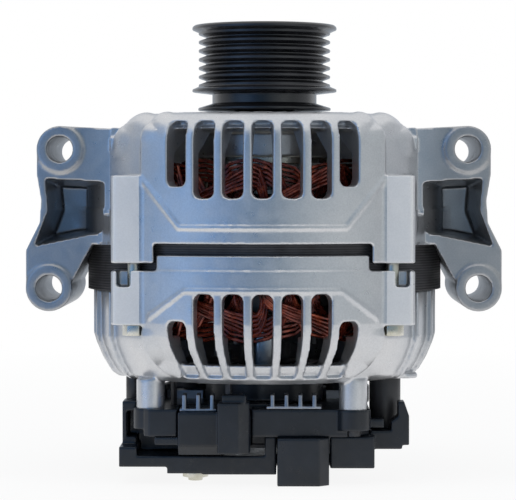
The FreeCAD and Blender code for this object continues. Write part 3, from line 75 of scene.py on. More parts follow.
def edited(mesh, change):
    """The mesh after one step on its points and faces."""
    work = bmesh.new()
    work.from_mesh(mesh)
    change(work)
    work.to_mesh(mesh)
    work.free()
    return mesh


def welded(node):
    """A copy of a CAD node's mesh whose faces are joined at their corners."""
    near = 0.002 * MM
    mesh = frame["nodes"][node].data.copy()
    return edited(mesh, lambda work: bmesh.ops.remove_doubles(work, verts=work.verts, dist=near))


def with_modifiers(mesh, *steps):
    """The mesh after a row of modifiers, each given as (type, settings)."""
    holder = new_object("Holder", mesh)
    for kind, settings in steps:
        modifier = holder.modifiers.new(kind, kind)
        for name, value in settings.items():
            setattr(modifier, name, value)
    graph = bpy.context.evaluated_depsgraph_get()
    ready = bpy.data.meshes.new_from_object(holder.evaluated_get(graph))
    bpy.data.objects.remove(holder)
    return ready


def reshaped(mesh, rule):
    """Moves the points of a mesh by a rule on their coordinates in millimetres."""
    count = len(mesh.vertices)
    spots = np.empty(count * 3)
    mesh.vertices.foreach_get("co", spots)
    moved = rule(*(spots.reshape(count, 3).T / MM))
    mesh.vertices.foreach_set("co", (np.stack(moved, axis=1) * MM).ravel())
    mesh.update()


def eased_skin(mesh, cell, passes, share, rule=None):
    """The closed mesh with every edge rounded as a mould leaves it, and its points moved by a rule."""
    ready = with_modifiers(mesh, ("REMESH", {"mode": "VOXEL", "voxel_size": cell}))
    if rule is not None:
        reshaped(ready, rule)
    ready = with_modifiers(
        ready,
        ("SMOOTH", {"factor": 0.5, "iterations": passes}),
        ("DECIMATE", {"ratio": share}),
    )
    ready.shade_smooth()
    return with_modifiers(ready, ("WEIGHTED_NORMAL", {"keep_sharp": False, "weight": 60}))


def bevelled(node, width):
    """A copy of a CAD node with its sharp edges broken."""
    flat, sharp = math.radians(1.0), math.radians(35)
    mesh = edited(welded(node), lambda work: bmesh.ops.dissolve_limit(
        work, angle_limit=flat, verts=work.verts, edges=work.edges))
    ready = with_modifiers(mesh, ("BEVEL", {
        "width": width, "segments": 2, "limit_method": "ANGLE",
        "angle_limit": sharp, "use_clamp_overlap": True}))
    shade(ready, 40)
    return ready


def joined(name, meshes):
    """One mesh from several."""
    points, faces = [], []
    for mesh in meshes:
        start = len(points)
        points += [v.co.copy() for v in mesh.vertices]
        faces += [[start + i for i in p.vertices] for p in mesh.polygons]
    return mesh_of(name, points, faces)


def lathe(name, outline, steps=144):
    """A closed outline of (radius, height) in millimetres, turned about the shaft axis."""
    points, faces = [], []
    count = len(outline)
    for step in range(steps):
        swing = FULL_TURN * step / steps
        for radius, height in outline:
            points.append((radius * math.cos(swing) * MM, radius * math.sin(swing) * MM, height * MM))
    for step in range(steps):
        ahead = (step + 1) % steps
        for i in range(count):
            j = (i + 1) % count
            faces.append((step * count + i, ahead * count + i, ahead * count + j, step * count + j))
    return mesh_of(name, points, faces)


def softened(outline, radius):
    """The outline with each corner rounded by three points."""
    soft = []
    count = len(outline)
    for i in range(count):
        here = Vector(outline[i])
        back = Vector(outline[i - 1]) - here
        ahead = Vector(outline[(i + 1) % count]) - here
        reach = min(radius, back.length * 0.4, ahead.length * 0.4)
        first = here + back.normalized() * reach
        last = here + ahead.normalized() * reach
        middle = (first + last) / 4 + here / 2
        soft += [tuple(first), tuple(middle), tuple(last)]
    return soft


def tubes(name, paths, radius, sides=6):
    """Round wires along paths of points, all in millimetres, closed at both ends."""
    points, faces = [], []
    for path in paths:
        path = [Vector(p) for p in path]
        start = len(points)
        side = None
        for i, spot in enumerate(path):
            way = (path[min(i + 1, len(path) - 1)] - path[max(i - 1, 0)]).normalized()
            if side is None:
                side = way.orthogonal().normalized()
            side = (side - way * side.dot(way)).normalized()
            up = way.cross(side)
            for k in range(sides):
                swing = FULL_TURN * k / sides
                points.append((spot + (side * math.cos(swing) + up * math.sin(swing)) * radius) * MM)
        for i in range(len(path) - 1):
            for k in range(sides):
                m = (k + 1) % sides
                row = start + i * sides
                faces.append((row + k, row + m, row + sides + m, row + sides + k))
        last = start + (len(path) - 1) * sides
        faces.append(tuple(start + k for k in reversed(range(sides))))
        faces.append(tuple(last + k for k in range(sides)))
    return mesh_of(name, points, faces, 60)


def around_shaft(radius, degrees, height):
    """A point in millimetres, with its angle measured from the front towards the right."""
    swing = math.radians(degrees)
    return (radius * math.sin(swing), -radius * math.cos(swing), height)


def box_mesh(low, high):
    """A box between two corners in millimetres."""
    points = [Vector(((low, high)[i][0], (low, high)[j][1], (low, high)[k][2])) * MM
              for i in (0, 1) for j in (0, 1) for k in (0, 1)]
    faces = [(0, 1, 3, 2), (4, 6, 7, 5), (0, 4, 5, 1), (2, 3, 7, 6), (0, 2, 6, 4), (1, 5, 7, 3)]
    return mesh_of("Box", points, faces)


def arc_wall(inner, outer, low, high, first, last, steps=48):
    """A wall that follows an arc about the shaft, between two angles from the front."""
    points, faces = [], []
    for step in range(steps + 1):
        degrees = first + (last - first) * step / steps
        for radius, height in ((inner, low), (outer, low), (outer, high), (inner, high)):
            points.append(Vector(around_shaft(radius, degrees, height)) * MM)
    for step in range(steps):
        row = 4 * step
        for i in range(4):
            j = (i + 1) % 4
            faces.append((row + i, row + j, row + 4 + j, row + 4 + i))
    faces += [(3, 2, 1, 0), tuple(4 * steps + i for i in range(4))]
    return mesh_of("Wall", points, faces)


# Materials
def spread(band, stops):
    """Fills a colour ramp with its stops, each a position and a colour."""
    while len(band) < len(stops):
        band.new(0.5)
    for element, (spot, colour) in zip(band, stops):
        element.position = spot
        element.color = (*colour, 1.0)


class Finish:
    """A material built node by node."""

    def __init__(self, name):
        self.material = bpy.data.materials.new(name)
        self.material.use_nodes = True
        self.tree = self.material.node_tree
        self.shader = self.tree.nodes["Principled BSDF"]
        self.place = self.node("ShaderNodeTexCoord").outputs["Object"]

    def node(self, kind, **inputs):
        made = self.tree.nodes.new(kind)
        for key, value in inputs.items():
            self.put(made, key.replace("_", " "), value)
        return made

    def put(self, target, key, value):
        socket = target.inputs[key]
        if isinstance(value, bpy.types.NodeSocket):
            self.tree.links.new(value, socket)
        else:
            socket.default_value = value

    def noise(self, scale, detail=3.0, rough=0.55, stretch=None):
        place = self.place
        if stretch is not None:
            mapping = self.node("ShaderNodeMapping", Vector=place, Scale=stretch)
            place = mapping.outputs["Vector"]
        made = self.node("ShaderNodeTexNoise", Vector=place, Scale=scale, Detail=detail, Roughness=rough)
        return made.outputs["Fac"]

    def ramp(self, value, *stops):
        """Colours, or levels, spread over the values 0 to 1."""
        made = self.node("ShaderNodeValToRGB", Fac=value)
        spread(made.color_ramp.elements, [
            (spot, level if isinstance(level, tuple) else (level,) * 3) for spot, level in stops])
        return made.outputs["Color"]

    def blend(self, share, first, second, way="MIX"):
        made = self.tree.nodes.new("ShaderNodeMix")
        made.data_type = "RGBA"
        made.blend_type = way
        self.put(made, 0, share)
        self.put(made, 6, first if isinstance(first, bpy.types.NodeSocket) else (*first, 1.0))
        self.put(made, 7, second if isinstance(second, bpy.types.NodeSocket) else (*second, 1.0))
        return made.outputs[2]

    def maths(self, operation, first, second=0.0, clamp=False):
        made = self.tree.nodes.new("ShaderNodeMath")
        made.operation = operation
        made.use_clamp = clamp
        self.put(made, 0, first)
        self.put(made, 1, second)
        return made.outputs[0]

    def beyond(self, axis, limit, soft=0.01):
        """Rises from 0 to 1 where the distance from the shaft along an axis passes a limit, over a
        soft edge; all in millimetres."""
        parts = self.node("ShaderNodeSeparateXYZ", Vector=self.place)
        past = self.maths("SUBTRACT", self.maths("ABSOLUTE", parts.outputs[axis]), limit * MM)
        return self.maths("DIVIDE", past, soft * MM, clamp=True)

    def bump(self, height, strength, distance, below=None):
        made = self.node("ShaderNodeBump", Height=height, Strength=strength, Distance=distance)
        if below is not None:
            self.put(made, "Normal", below)
        return made.outputs["Normal"]

    def set(self, **values):
        for key, value in values.items():
            self.put(self.shader, key.replace("_", " "), value)
        return self.material


def cast_aluminium():
    """Die cast skin: satin, in faint patches, with a fine grain. The pads of the bosses, outside the drum
    and in front of the shell, are matt and get a painted highlight that makes them paler; the ears get
    painted shade that darkens them away from their roots."""
    drum_side, pad_front, ear_root, ear_fade = 47.9, 60.2, 60.5, 12.0
    f = Finish("cast_aluminium")
    grain = f.noise(1500, 2)
    colour = f.ramp(f.noise(38, 4), (0.3, (0.56, 0.58, 0.61)), (0.5, (0.63, 0.64, 0.66)),
                    (0.72, (0.69, 0.69, 0.70)))
    colour = f.blend(0.12, colour, f.ramp(grain, (0.35, 0.25), (0.65, 1.0)), "MULTIPLY")
    pad_painted_light = f.maths("MULTIPLY", f.beyond("X", drum_side), f.beyond("Y", pad_front))
    # Painted shade: the ears are blended towards black, more so the further they reach from their roots.
    ear_painted_shade = f.beyond("X", ear_root, ear_fade)
    colour = f.blend(f.maths("MULTIPLY", ear_painted_shade, 0.34), colour, (0.0, 0.0, 0.0))
    # Painted highlight: the flat pads of the bosses are blended towards white; their lower metallic and
    # higher roughness below are their matt finish.
    colour = f.blend(f.maths("MULTIPLY", pad_painted_light, 0.4), colour, (1.0, 1.0, 1.0))
    metallic = f.maths("SUBTRACT", 0.86, f.maths("MULTIPLY", pad_painted_light, 0.5))
    rough = f.ramp(f.noise(220, 3), (0.3, 0.27), (0.7, 0.40))
    rough = f.maths("ADD", rough, f.maths("MULTIPLY", pad_painted_light, 0.15))
    normal = f.bump(grain, 0.16, 0.10 * MM)
    normal = f.bump(f.noise(160, 3), 0.25, 0.25 * MM, normal)
    return f.set(Base_Color=colour, Metallic=metallic, Roughness=rough, Normal=normal)


def moulded_plastic(name, dark, pale, roughness):
    """Satin plastic in faint patches, with a fine grain."""
    f = Finish(name)
    grain = f.noise(1800, 2)
    colour = f.ramp(f.noise(70, 4), (0.3, dark), (0.75, pale))
    rough = f.ramp(f.noise(300, 3), (0.3, roughness - 0.07), (0.7, roughness + 0.07))
    normal = f.bump(grain, 0.25, 0.08 * MM)
    return f.set(Base_Color=colour, Roughness=rough, Normal=normal)


def gloss_black():
    """Thick black paint with a slightly wavy gloss."""
    f = Finish("black_paint")
    colour = f.ramp(f.noise(90, 3), (0.3, (0.008, 0.008, 0.010)), (0.7, (0.018, 0.018, 0.021)))
    rough = f.ramp(f.noise(240, 3), (0.3, 0.13), (0.7, 0.24))
    normal = f.bump(f.noise(700, 2), 0.10, 0.05 * MM)
    return f.set(Base_Color=colour, Roughness=rough, Normal=normal, Coat_Weight=0.4, Coat_Roughness=0.08)


def plain_metal(name, dark, pale, low, high, scale=120, metallic=1.0, stretch=None):
    """Bare metal between two colours and two levels of roughness, with fine marks along a stretch."""
    f = Finish(name)
    colour = f.ramp(f.noise(scale, 4), (0.3, dark), (0.7, pale))
    rough = f.ramp(f.noise(scale * 3, 3, stretch=stretch), (0.3, low), (0.7, high))
    normal = f.bump(f.noise(1200, 2, stretch=stretch), 0.12, 0.06 * MM)
    return f.set(Base_Color=colour, Metallic=metallic, Roughness=rough, Normal=normal)


def laminated():
    """Stacked sheets, seen as fine lines across the shaft axis."""
    f = Finish("laminated_steel")
    sheets = f.node("ShaderNodeTexWave", Vector=f.place, Scale=310.0, Distortion=0.4, Detail=1.0)
    sheets.bands_direction = "Z"
    lines = sheets.outputs["Fac"]
    colour = f.ramp(lines, (0.0, (0.015, 0.015, 0.017)), (0.6, (0.060, 0.060, 0.066)))
    stains = f.ramp(f.noise(90, 4), (0.3, (0.03, 0.025, 0.02)), (0.7, (0.12, 0.12, 0.13)))
    colour = f.blend(0.35, colour, stains)
    normal = f.bump(lines, 0.5, 0.2 * MM)
    return f.set(Base_Color=colour, Metallic=0.6, Roughness=0.46, Normal=normal)


def enamelled_copper():
    """Varnished winding wire, from nearly black to bright copper."""
    f = Finish("copper_wire")
    colour = f.ramp(f.noise(260, 3), (0.3, (0.06, 0.011, 0.007)), (0.52, (0.22, 0.034, 0.018)),
                    (0.72, (0.56, 0.12, 0.05)))
    rough = f.ramp(f.noise(900, 2), (0.3, 0.20), (0.7, 0.36))
    return f.set(Base_Color=colour, Metallic=0.4, Roughness=rough, Coat_Weight=0.4, Coat_Roughness=0.15)


FINISHES = {
    "cast_aluminium": cast_aluminium(),
    "laminated_steel": laminated(),
    "copper_wire": enamelled_copper(),
    "zinc_steel": plain_metal("zinc_steel", (0.52, 0.50, 0.40), (0.74, 0.73, 0.68), 0.22, 0.38),
    "bearing_steel": plain_metal("bearing_steel", (0.60, 0.61, 0.63), (0.74, 0.75, 0.77), 0.14, 0.26,
                                 stretch=(1.0, 1.0, 12.0)),
    "black_paint": gloss_black(),
    "rotor_iron": plain_metal("rotor_iron", (0.07, 0.07, 0.075), (0.19, 0.18, 0.18), 0.38, 0.58, 160),
    "black_plastic": moulded_plastic("black_plastic", (0.003, 0.006, 0.011), (0.009, 0.014, 0.023), 0.33),
    "grey_plastic": moulded_plastic("grey_plastic", (0.020, 0.020, 0.022), (0.040, 0.040, 0.043), 0.42),
    "plate_aluminium": plain_metal("plate_aluminium", (0.34, 0.36, 0.40), (0.50, 0.52, 0.56), 0.30, 0.48,
                                   stretch=(1.0, 10.0, 1.0)),
    "slip_copper": plain_metal("slip_copper", (0.62, 0.30, 0.17), (0.80, 0.46, 0.29), 0.18, 0.34),
    "carbon": plain_metal("carbon", (0.020, 0.020, 0.022), (0.055, 0.053, 0.052), 0.42, 0.6, 500, 0.2),
}
# Painted shade: the parts listed below sit in shadow deep in the back half. They get one near-black metal
# instead of their own zinc and aluminium finishes; for the rear fan the dark colour is partly its own.
PAINTED_SHADE_INSIDE = plain_metal("painted_shade_inside", (0.035, 0.036, 0.040), (0.085, 0.085, 0.090), 0.42, 0.6, 160, 0.6)
PAINTED_SHADE_NODES = ("rear_fan", "negative_plate", "negative_diodes", "positive_diodes", "stator_leads",
              "carrier_screws")
BODIES = frame["record"]["behaviour"]["bodies"]
BODY_OF = {node: body for body, members in BODIES.items() for node in members}
SLOTS = {part["node"]: part["material_slot"] for part in frame["record"]["subparts"]}
for node, item in frame["nodes"].items():
    item.data.materials.clear()
    item.data.materials.append(PAINTED_SHADE_INSIDE if node in PAINTED_SHADE_NODES else FINISHES[SLOTS[node]])


def stand_in(node, mesh):
    """A piece in place of one CAD node, with that node's slot and body."""
    slot, body = SLOTS[node], BODY_OF[node]
    mesh.materials.clear()
    mesh.materials.append(FINISHES[slot])
    piece = new_object(node + "_skin", mesh)
    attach(piece, body)
    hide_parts(node)
    return piece


# Castings: the solids with rounded edges, and rounded corners in their slots
# Sizes in millimetres, as the CAD has them
DRUM_RADIUS = 76.6
DRUM_HALF_WIDTH = 47.5
DRUM_CORNER = 13.0
DRUM_RISE = 4.0
SHELL_RADIUS = DRUM_RADIUS - DRUM_RISE
SHELL_HALF_WIDTH = 60.0
SHELL_CORNER = 17.0
SHOULDER = 12.0
FRONT_TOP = 146.0
REAR_LOW = 40.5
REAR_CORNER = 22.0
# Heights where the flats of the shoulders meet, and the radii there
FRONT_HEIGHTS = (134.0, 142.5, FRONT_TOP)
FRONT_RADII = (DRUM_RADIUS, 73.1, 64.6)
REAR_HEIGHTS = (REAR_LOW, 47.5, 53.5, 57.5)
REAR_SHELL = (61.0, 64.2, 66.8, 67.8)
# How far past an edge its own points still lie
SLACK = 0.3
# Roots of the ears, the rim beside them and the pockets in them
EAR_ROOT = (60.6, 70.5)
EAR_HEIGHTS = (94.6, 137.5)
EAR_FACE = 36.0
RIM_RADIUS = 73.4
RIM_TOP = 106.0
POCKET_SIDE = 61.0
POCKET_TOP = 108.8
POCKET_SLANT = (52.0, 91.3)
POCKET_LOW = (101.7, 93.7)
POCKET_FLOOR = 73.1
POCKET_STEP = 76.2
# Slots, in degrees about the shaft, with the radius of their corners
VENT_PITCH = 8.65
VENT_HALF = 3.05
VENT_CORNER = 2.6


def front_profile(height):
    """Outer radius of the front drum at a height, along the flats of its shoulder."""
    return np.interp(height, FRONT_HEIGHTS, FRONT_RADII)


def slot_corner(degrees, side, level, up, inner, outer):
    """A small filling that rounds one corner of a slot. It runs through the wall, a little sunk."""
    reach = math.radians(VENT_HALF) * DRUM_RADIUS
    spill, sunk, steps = 0.5, 0.12, 5
    section = [(reach + spill, -spill), (reach - VENT_CORNER, -spill)]
    for step in range(steps + 1):
        swing = math.radians(90 * step / steps)
        section.append((reach - VENT_CORNER + VENT_CORNER * math.sin(swing),
                        VENT_CORNER - VENT_CORNER * math.cos(swing)))
    section.append((reach + spill, VENT_CORNER))
    points = []
    for across, rise in section:
        height = level + up * rise
        angle = degrees + side * math.degrees(across / DRUM_RADIUS)
        for radius in (inner, outer(height) - sunk):
            spot = around_shaft(radius, angle, height)
            points.append(Vector(spot) * MM)
    count = len(section)
    faces = [tuple(2 * i for i in range(count)), tuple(2 * i + 1 for i in reversed(range(count)))]
    for i in range(count):
        j = (i + 1) % count
        faces.append((2 * i, 2 * i + 1, 2 * j + 1, 2 * j))
    return mesh_of("Corner", points, faces)


def slot_corners(long_level, short_level, up, inner, outer):
    """Both corners at one end of each slot, in front and at the back. The outermost slots are shorter."""
    made = []
    for back in (0, 180):
        for number in range(-3, 4):
            level = short_level if abs(number) == 3 else long_level
            for side in (-1, 1):
                made.append(slot_corner(back + number * VENT_PITCH, side, level, up, inner, outer))
    return made


def rounded_off(across, along, centre, radius, way, where):
    """Moves points near two flats out to the quarter arc that the flats stand for. The move fades
    over a depth below them."""
    half_flat, flat_angle, fade = 22.5, 45.0, 3.5
    reach_across = across - centre[0]
    reach_along = (along - centre[1]) * way
    reach = np.hypot(reach_across, reach_along)
    swing = np.degrees(np.arctan2(reach_along, reach_across))
    to_middle = np.radians(np.mod(swing, flat_angle) - half_flat)
    flat = radius * math.cos(math.radians(half_flat)) / np.cos(to_middle)
    near = np.clip(1.4 - np.abs(flat - reach) / fade, 0.0, 1.0)
    active = where & (reach_across > 0) & (reach_along > 0)
    scale = 1 + np.where(active, near * (radius / flat - 1), 0.0)
    return centre[0] + reach_across * scale, centre[1] + reach_along * scale * way


def round_shoulder(x, y, z, reach, half_width, corner, where):
    """Rounds the front shoulder about the shaft, and its corner at the flat sides."""
    radius = np.hypot(x, y)
    wider, z = rounded_off(radius, z, (reach - SHOULDER, FRONT_TOP - SHOULDER), SHOULDER, 1, where)
    x, y = x * wider / radius, y * wider / radius
    wide, z = rounded_off(np.abs(x), z, (half_width - corner, FRONT_TOP - corner), corner, 1, where)
    return np.copysign(wide, x), y, z


def on_drum(wide, radius, shell_reach):
    """Where points stand on the drum, which is narrower than the shell and rises out of it."""
    clear = 1.2
    return (wide < DRUM_HALF_WIDTH + SLACK) & (radius > shell_reach + clear)


def front_shape(x, y, z):
    """Round shoulders, ears that are flush at their roots, and pockets without a step."""
    wide = np.abs(x)
    drum = on_drum(wide, np.hypot(x, y), front_profile(z) - DRUM_RISE)
    shell = ~drum & (wide < SHELL_HALF_WIDTH + SLACK)
    x, y, z = round_shoulder(x, y, z, DRUM_RADIUS, DRUM_HALF_WIDTH, DRUM_CORNER, drum)
    x, y, z = round_shoulder(x, y, z, SHELL_RADIUS, SHELL_HALF_WIDTH, SHELL_CORNER, shell)
    root = (wide > EAR_ROOT[0]) & (wide < EAR_ROOT[1]) & (z > EAR_HEIGHTS[0]) & (z < EAR_HEIGHTS[1])
    rim = np.sqrt(np.maximum(RIM_RADIUS ** 2 - wide ** 2, 0.0))
    face = -np.where(z < RIM_TOP, np.maximum(rim, EAR_FACE), EAR_FACE)
    y = np.where(root, np.maximum(y, face), y)
    radius = np.hypot(x, y)
    low = np.interp(wide, POCKET_SLANT, POCKET_LOW)
    pocket = (wide > POCKET_SIDE) & (np.abs(y) < EAR_FACE + 0.2) & (z > low) & (z < POCKET_TOP)
    step = pocket & (radius > SHELL_RADIUS) & (radius < POCKET_STEP)
    share = np.where(step, POCKET_FLOOR / radius, 1.0)
    return x * share, y * share, z


def rear_shape(x, y, z):
    """A round corner where the lower drum meets its flat sides."""
    wide = np.abs(x)
    drum = on_drum(wide, np.hypot(x, y), np.interp(z, REAR_HEIGHTS, REAR_SHELL))
    centre = (DRUM_HALF_WIDTH - REAR_CORNER, REAR_LOW + REAR_CORNER)
    wide, z = rounded_off(wide, z, centre, REAR_CORNER, -1, drum)
    return np.copysign(wide, x), y, z


def inner_wall(low, high):
    """A guessed wall inside the back half. It closes the view through the vents from front to back."""
    return arc_wall(inner=52.3, outer=53.9, low=low, high=high, first=105, last=255)


def build_castings():
    cell, passes = 0.62 * MM, 3
    low_ends = slot_corners(long_level=112.8, short_level=117.3, up=1, inner=70.0, outer=front_profile)
    high_ends = slot_corners(long_level=142.3, short_level=142.3, up=-1, inner=68.5, outer=front_profile)
    wall = inner_wall(121.4, 144.0)
    front = joined("Front", [welded("drive_end_housing"), wall, *low_ends, *high_ends])
    stand_in("drive_end_housing", eased_skin(front, cell, passes, 0.22, front_shape))
    high_ends = slot_corners(long_level=76.0, short_level=65.5, up=-1, inner=71.2,
                             outer=lambda height: DRUM_RADIUS)
    wall = inner_wall(42.5, 57.4)
    rear = joined("Rear", [welded("rear_housing"), wall, *high_ends])
    stand_in("rear_housing", eased_skin(rear, cell, passes, 0.25, rear_shape))


# Mouldings: with a rim on the carrier, walls at the left of the cover, and one on the regulator housing
def build_mouldings():
    cell, passes, share = 0.38 * MM, 5, 0.18
    extras = {
        "rectifier_carrier": [arc_wall(41.5, 43.1, 29.2, 36.0, 82, 278)],
        "rear_cover": [box_mesh((-54.8, -21.8, 17.0), (-50.6, -20.2, 28.4)),
                       box_mesh((-51.2, -22.0, 10.8), (-16.0, -20.4, 18.3)),
                       box_mesh((-51.2, -21.9, 18.0), (-47.4, -20.3, 25.0))],
        "regulator_housing": [arc_wall(24.2, 25.6, 30.4, 39.9, -70, 70)],
        "second_socket": [],
    }
    for node, more in extras.items():
        moulding = joined("Moulding", [welded(node), *more])
        stand_in(node, eased_skin(moulding, cell, passes, share))


# Pulley: V grooves between two flanges, a neck and a thrower ring
def build_pulley():
    bore, collar, recess, tooth, flange, neck, thrower = 8.55, 12.5, 18.0, 27.0, 29.6, 21.4, 27.2
    low_face, thrower_low, recess_floor, top, chamfer = 143.0, 148.0, 168.0, 183.4, 0.8
    depth, pitch, first, count, half_floor, rounding = 3.0, 3.56, 178.3, 6, 0.2, 0.32
    slant = depth * math.tan(math.radians(20))
    last = first - (count - 1) * pitch
    outline = [(bore, low_face), (collar, low_face), (collar, thrower_low), (thrower - 6, thrower_low),
               (thrower, 148.6), (thrower, 149.6), (neck, 151.4), (neck, last - 5.3),
               (flange, last - 4.3), (flange, last - 3.3), (tooth, last - 2.2)]
    for i in reversed(range(count)):
        level = first - i * pitch
        outline += [(tooth, level - slant - half_floor), (tooth - depth, level - half_floor),
                    (tooth - depth, level + half_floor), (tooth, level + slant + half_floor)]
    outline += [(tooth, first + 2.2), (flange, first + 3.3), (flange, top - chamfer),
                (flange - chamfer, top), (recess, top), (recess, recess_floor), (bore, recess_floor)]
    stand_in("pulley", lathe("Pulley", softened(outline, rounding)))


# Winding: wires that leave one slot of the core and enter the third one after it
SLOT_COUNT = 36
SLOT_ANGLE = 360 / SLOT_COUNT
ARCHED = ((0.0, -0.12), (0.0, 0.1), (0.05, 0.42), (0.14, 0.74), (0.27, 0.94), (0.42, 1.0),
          (0.58, 1.0), (0.73, 0.94), (0.86, 0.74), (0.95, 0.42), (1.0, 0.1), (1.0, -0.12))
SLANTED = ((0.0, -0.12), (0.02, 0.1), (0.12, 0.3), (0.3, 0.48), (0.5, 0.66), (0.7, 0.84),
           (0.86, 0.97), (0.95, 0.9), (1.0, 0.6), (1.02, 0.3), (1.0, -0.12))


def coil_end(slot_number, base, way, room):
    """The wires of one coil where they cross outside the core, each from a slot to the third one
    after it. They wave in and out a little, and their crests step down."""
    layers, wires, span = (63.6, 61.2, 58.4), 5, 3 * SLOT_ANGLE
    top_gap, crest_step, odd_drop, lean_step, layer_step, wave = 0.5, 1.9, 1.6, 0.62, 0.25, 0.56
    layer = layers[slot_number % len(layers)]
    start = slot_number * SLOT_ANGLE
    paths = []
    for wire in range(wires):
        crest = room - top_gap - crest_step * wire - (slot_number % 2) * odd_drop
        lean = (wire - 2) * lean_step
        radius = layer - layer_step * (wire % 2)
        path = []
        for share, rise in SLANTED if slot_number % 3 == 0 else ARCHED:
            outward = wave * math.sin(math.pi * share + 0.6 * wire + slot_number)
            spot = start + span * share + lean * (1 - rise * 0.8) * (1 if share < 0.5 else -1)
            path.append(around_shaft(radius + outward, spot, base + way * crest * rise))
        paths.append(path)
    return paths


def build_winding():
    core_low, core_high, room_above, room_below = 76.0, 105.0, 23.0, 19.0
    first_radius, depth_step, layers, past_core, wire = 57.2, 1.9, 4, 2, 0.78
    paths = []
    for slot_number in range(SLOT_COUNT):
        paths += coil_end(slot_number, core_high, 1, room_above)
        paths += coil_end(slot_number, core_low, -1, room_below)
        degrees = slot_number * SLOT_ANGLE
        for layer in range(layers):
            radius = first_radius + depth_step * layer
            paths.append([around_shaft(radius, degrees, core_low - past_core),
                          around_shaft(radius, degrees, core_high + past_core)])
    stand_in("stator_winding", tubes("Winding", paths, wire))


# Brush springs: coils of wire, one for each brush
def build_springs():
    near, far, radius, turns, wire = -30.8, -23.0, 1.6, 6, 0.2
    steps = turns * 16
    for which, level in (("upper", 27.0), ("lower", 19.8)):
        path = []
        for step in range(steps + 1):
            swing = FULL_TURN * turns * step / steps
            along = near + wire + (far - near - 2 * wire) * step / steps
            path.append((radius * math.cos(swing), along, level + radius * math.sin(swing)))
        spring = stand_in(which + "_brush_spring", tubes("Spring", [path], wire))
        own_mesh(spring)


# Small parts with broken edges
def build_small_parts():
    edge = 0.35 * MM
    for node in ("through_bolt_1", "through_bolt_2", "through_bolt_3", "through_bolt_4", "pulley_nut",
                 "output_nut", "cover_nut", "cover_stud", "output_stud", "capacitor", "corner_post",
                 "rectifier_fins", "regulator_heat_sink"):
        stand_in(node, bevelled(node, edge))


build_castings()
build_mouldings()
build_pulley()
build_winding()
build_springs()
build_small_parts()


# Floor, light and camera
def emptied_tree(owner):
    """The node tree of a material or a world, with nothing left in it."""
    owner.use_nodes = True
    owner.node_tree.nodes.clear()
    return owner.node_tree


def seen_directly(tree):
    """1 for a ray from the camera, or one that a mirror or glass sends on."""
    rays = tree.nodes.new("ShaderNodeLightPath")
    value = rays.outputs["Is Camera Ray"]
    for name in ("Is Glossy Ray", "Is Transmission Ray"):
        most = tree.nodes.new("ShaderNodeMath")
        most.operation = "MAXIMUM"
        tree.links.new(value, most.inputs[0])
        tree.links.new(rays.outputs[name], most.inputs[1])
        value = most.outputs[0]
    return value


def build_floor():
    """A matt floor that keeps the shadow and fades to the white of the backdrop."""
    half, level = 6.0, -0.0002
    material = bpy.data.materials.new("floor")
    tree = emptied_tree(material)
    matt = tree.nodes.new("ShaderNodeBsdfDiffuse")
    matt.inputs["Color"].default_value = (0.88, 0.88, 0.88, 1.0)
    bright = tree.nodes.new("ShaderNodeEmission")
    share = tree.nodes.new("ShaderNodeMath")
    share.operation = "MULTIPLY"
    place = tree.nodes.new("ShaderNodeTexCoord")
    reach = tree.nodes.new("ShaderNodeVectorMath")
    reach.operation = "LENGTH"
    away = tree.nodes.new("ShaderNodeMapRange")
    for name, value in (("From Min", 0.2), ("From Max", 0.8), ("To Min", 0.9), ("To Max", 1.0)):
        away.inputs[name].default_value = value
    tree.links.new(place.outputs["Object"], reach.inputs[0])
    tree.links.new(reach.outputs["Value"], away.inputs["Value"])
    tree.links.new(away.outputs["Result"], share.inputs[1])
    mixed = tree.nodes.new("ShaderNodeMixShader")
    out = tree.nodes.new("ShaderNodeOutputMaterial")
    tree.links.new(seen_directly(tree), share.inputs[0])
    tree.links.new(share.outputs[0], mixed.inputs["Fac"])
    tree.links.new(matt.outputs[0], mixed.inputs[1])
    tree.links.new(bright.outputs[0], mixed.inputs[2])
    tree.links.new(mixed.outputs[0], out.inputs["Surface"])
    mesh = bpy.data.meshes.new("floor")
    corners = [(-half, -half, level), (half, -half, level), (half, half, level), (-half, half, level)]
    mesh.from_pydata(corners, [], [(0, 1, 2, 3)])
    mesh.materials.append(material)
    item = new_object("floor", mesh)


def build_world():
    """A white backdrop for the camera and mirrors, and a low cool light for the rest."""
    world = bpy.data.worlds.new("studio")
    bpy.context.scene.world = world
    tree = emptied_tree(world)
    soft = tree.nodes.new("ShaderNodeBackground")
    soft.inputs["Color"].default_value = (0.86, 0.92, 1.0, 1.0)
    soft.inputs["Strength"].default_value = 0.32
    white = tree.nodes.new("ShaderNodeBackground")
    white.inputs["Color"].default_value = (1.0, 1.0, 1.0, 1.0)
    mixed = tree.nodes.new("ShaderNodeMixShader")
    out = tree.nodes.new("ShaderNodeOutputWorld")
    tree.links.new(seen_directly(tree), mixed.inputs["Fac"])
    tree.links.new(soft.outputs[0], mixed.inputs[1])
    tree.links.new(white.outputs[0], mixed.inputs[2])
    tree.links.new(mixed.outputs[0], out.inputs["Surface"])


def lamp(name, place, target, size, power):
    """A soft box that the shiny parts don't mirror."""
    data = bpy.data.lights.new(name, "AREA")
    data.shape = "RECTANGLE"
    data.size, data.size_y = size
    data.energy = power
    item = bpy.data.objects.new(name, data)
    item.location = place
    aim = Vector(target) - Vector(place)
    item.rotation_euler = aim.to_track_quat("-Z", "Y").to_euler()
    item.visible_glossy = False
    bpy.context.scene.collection.objects.link(item)


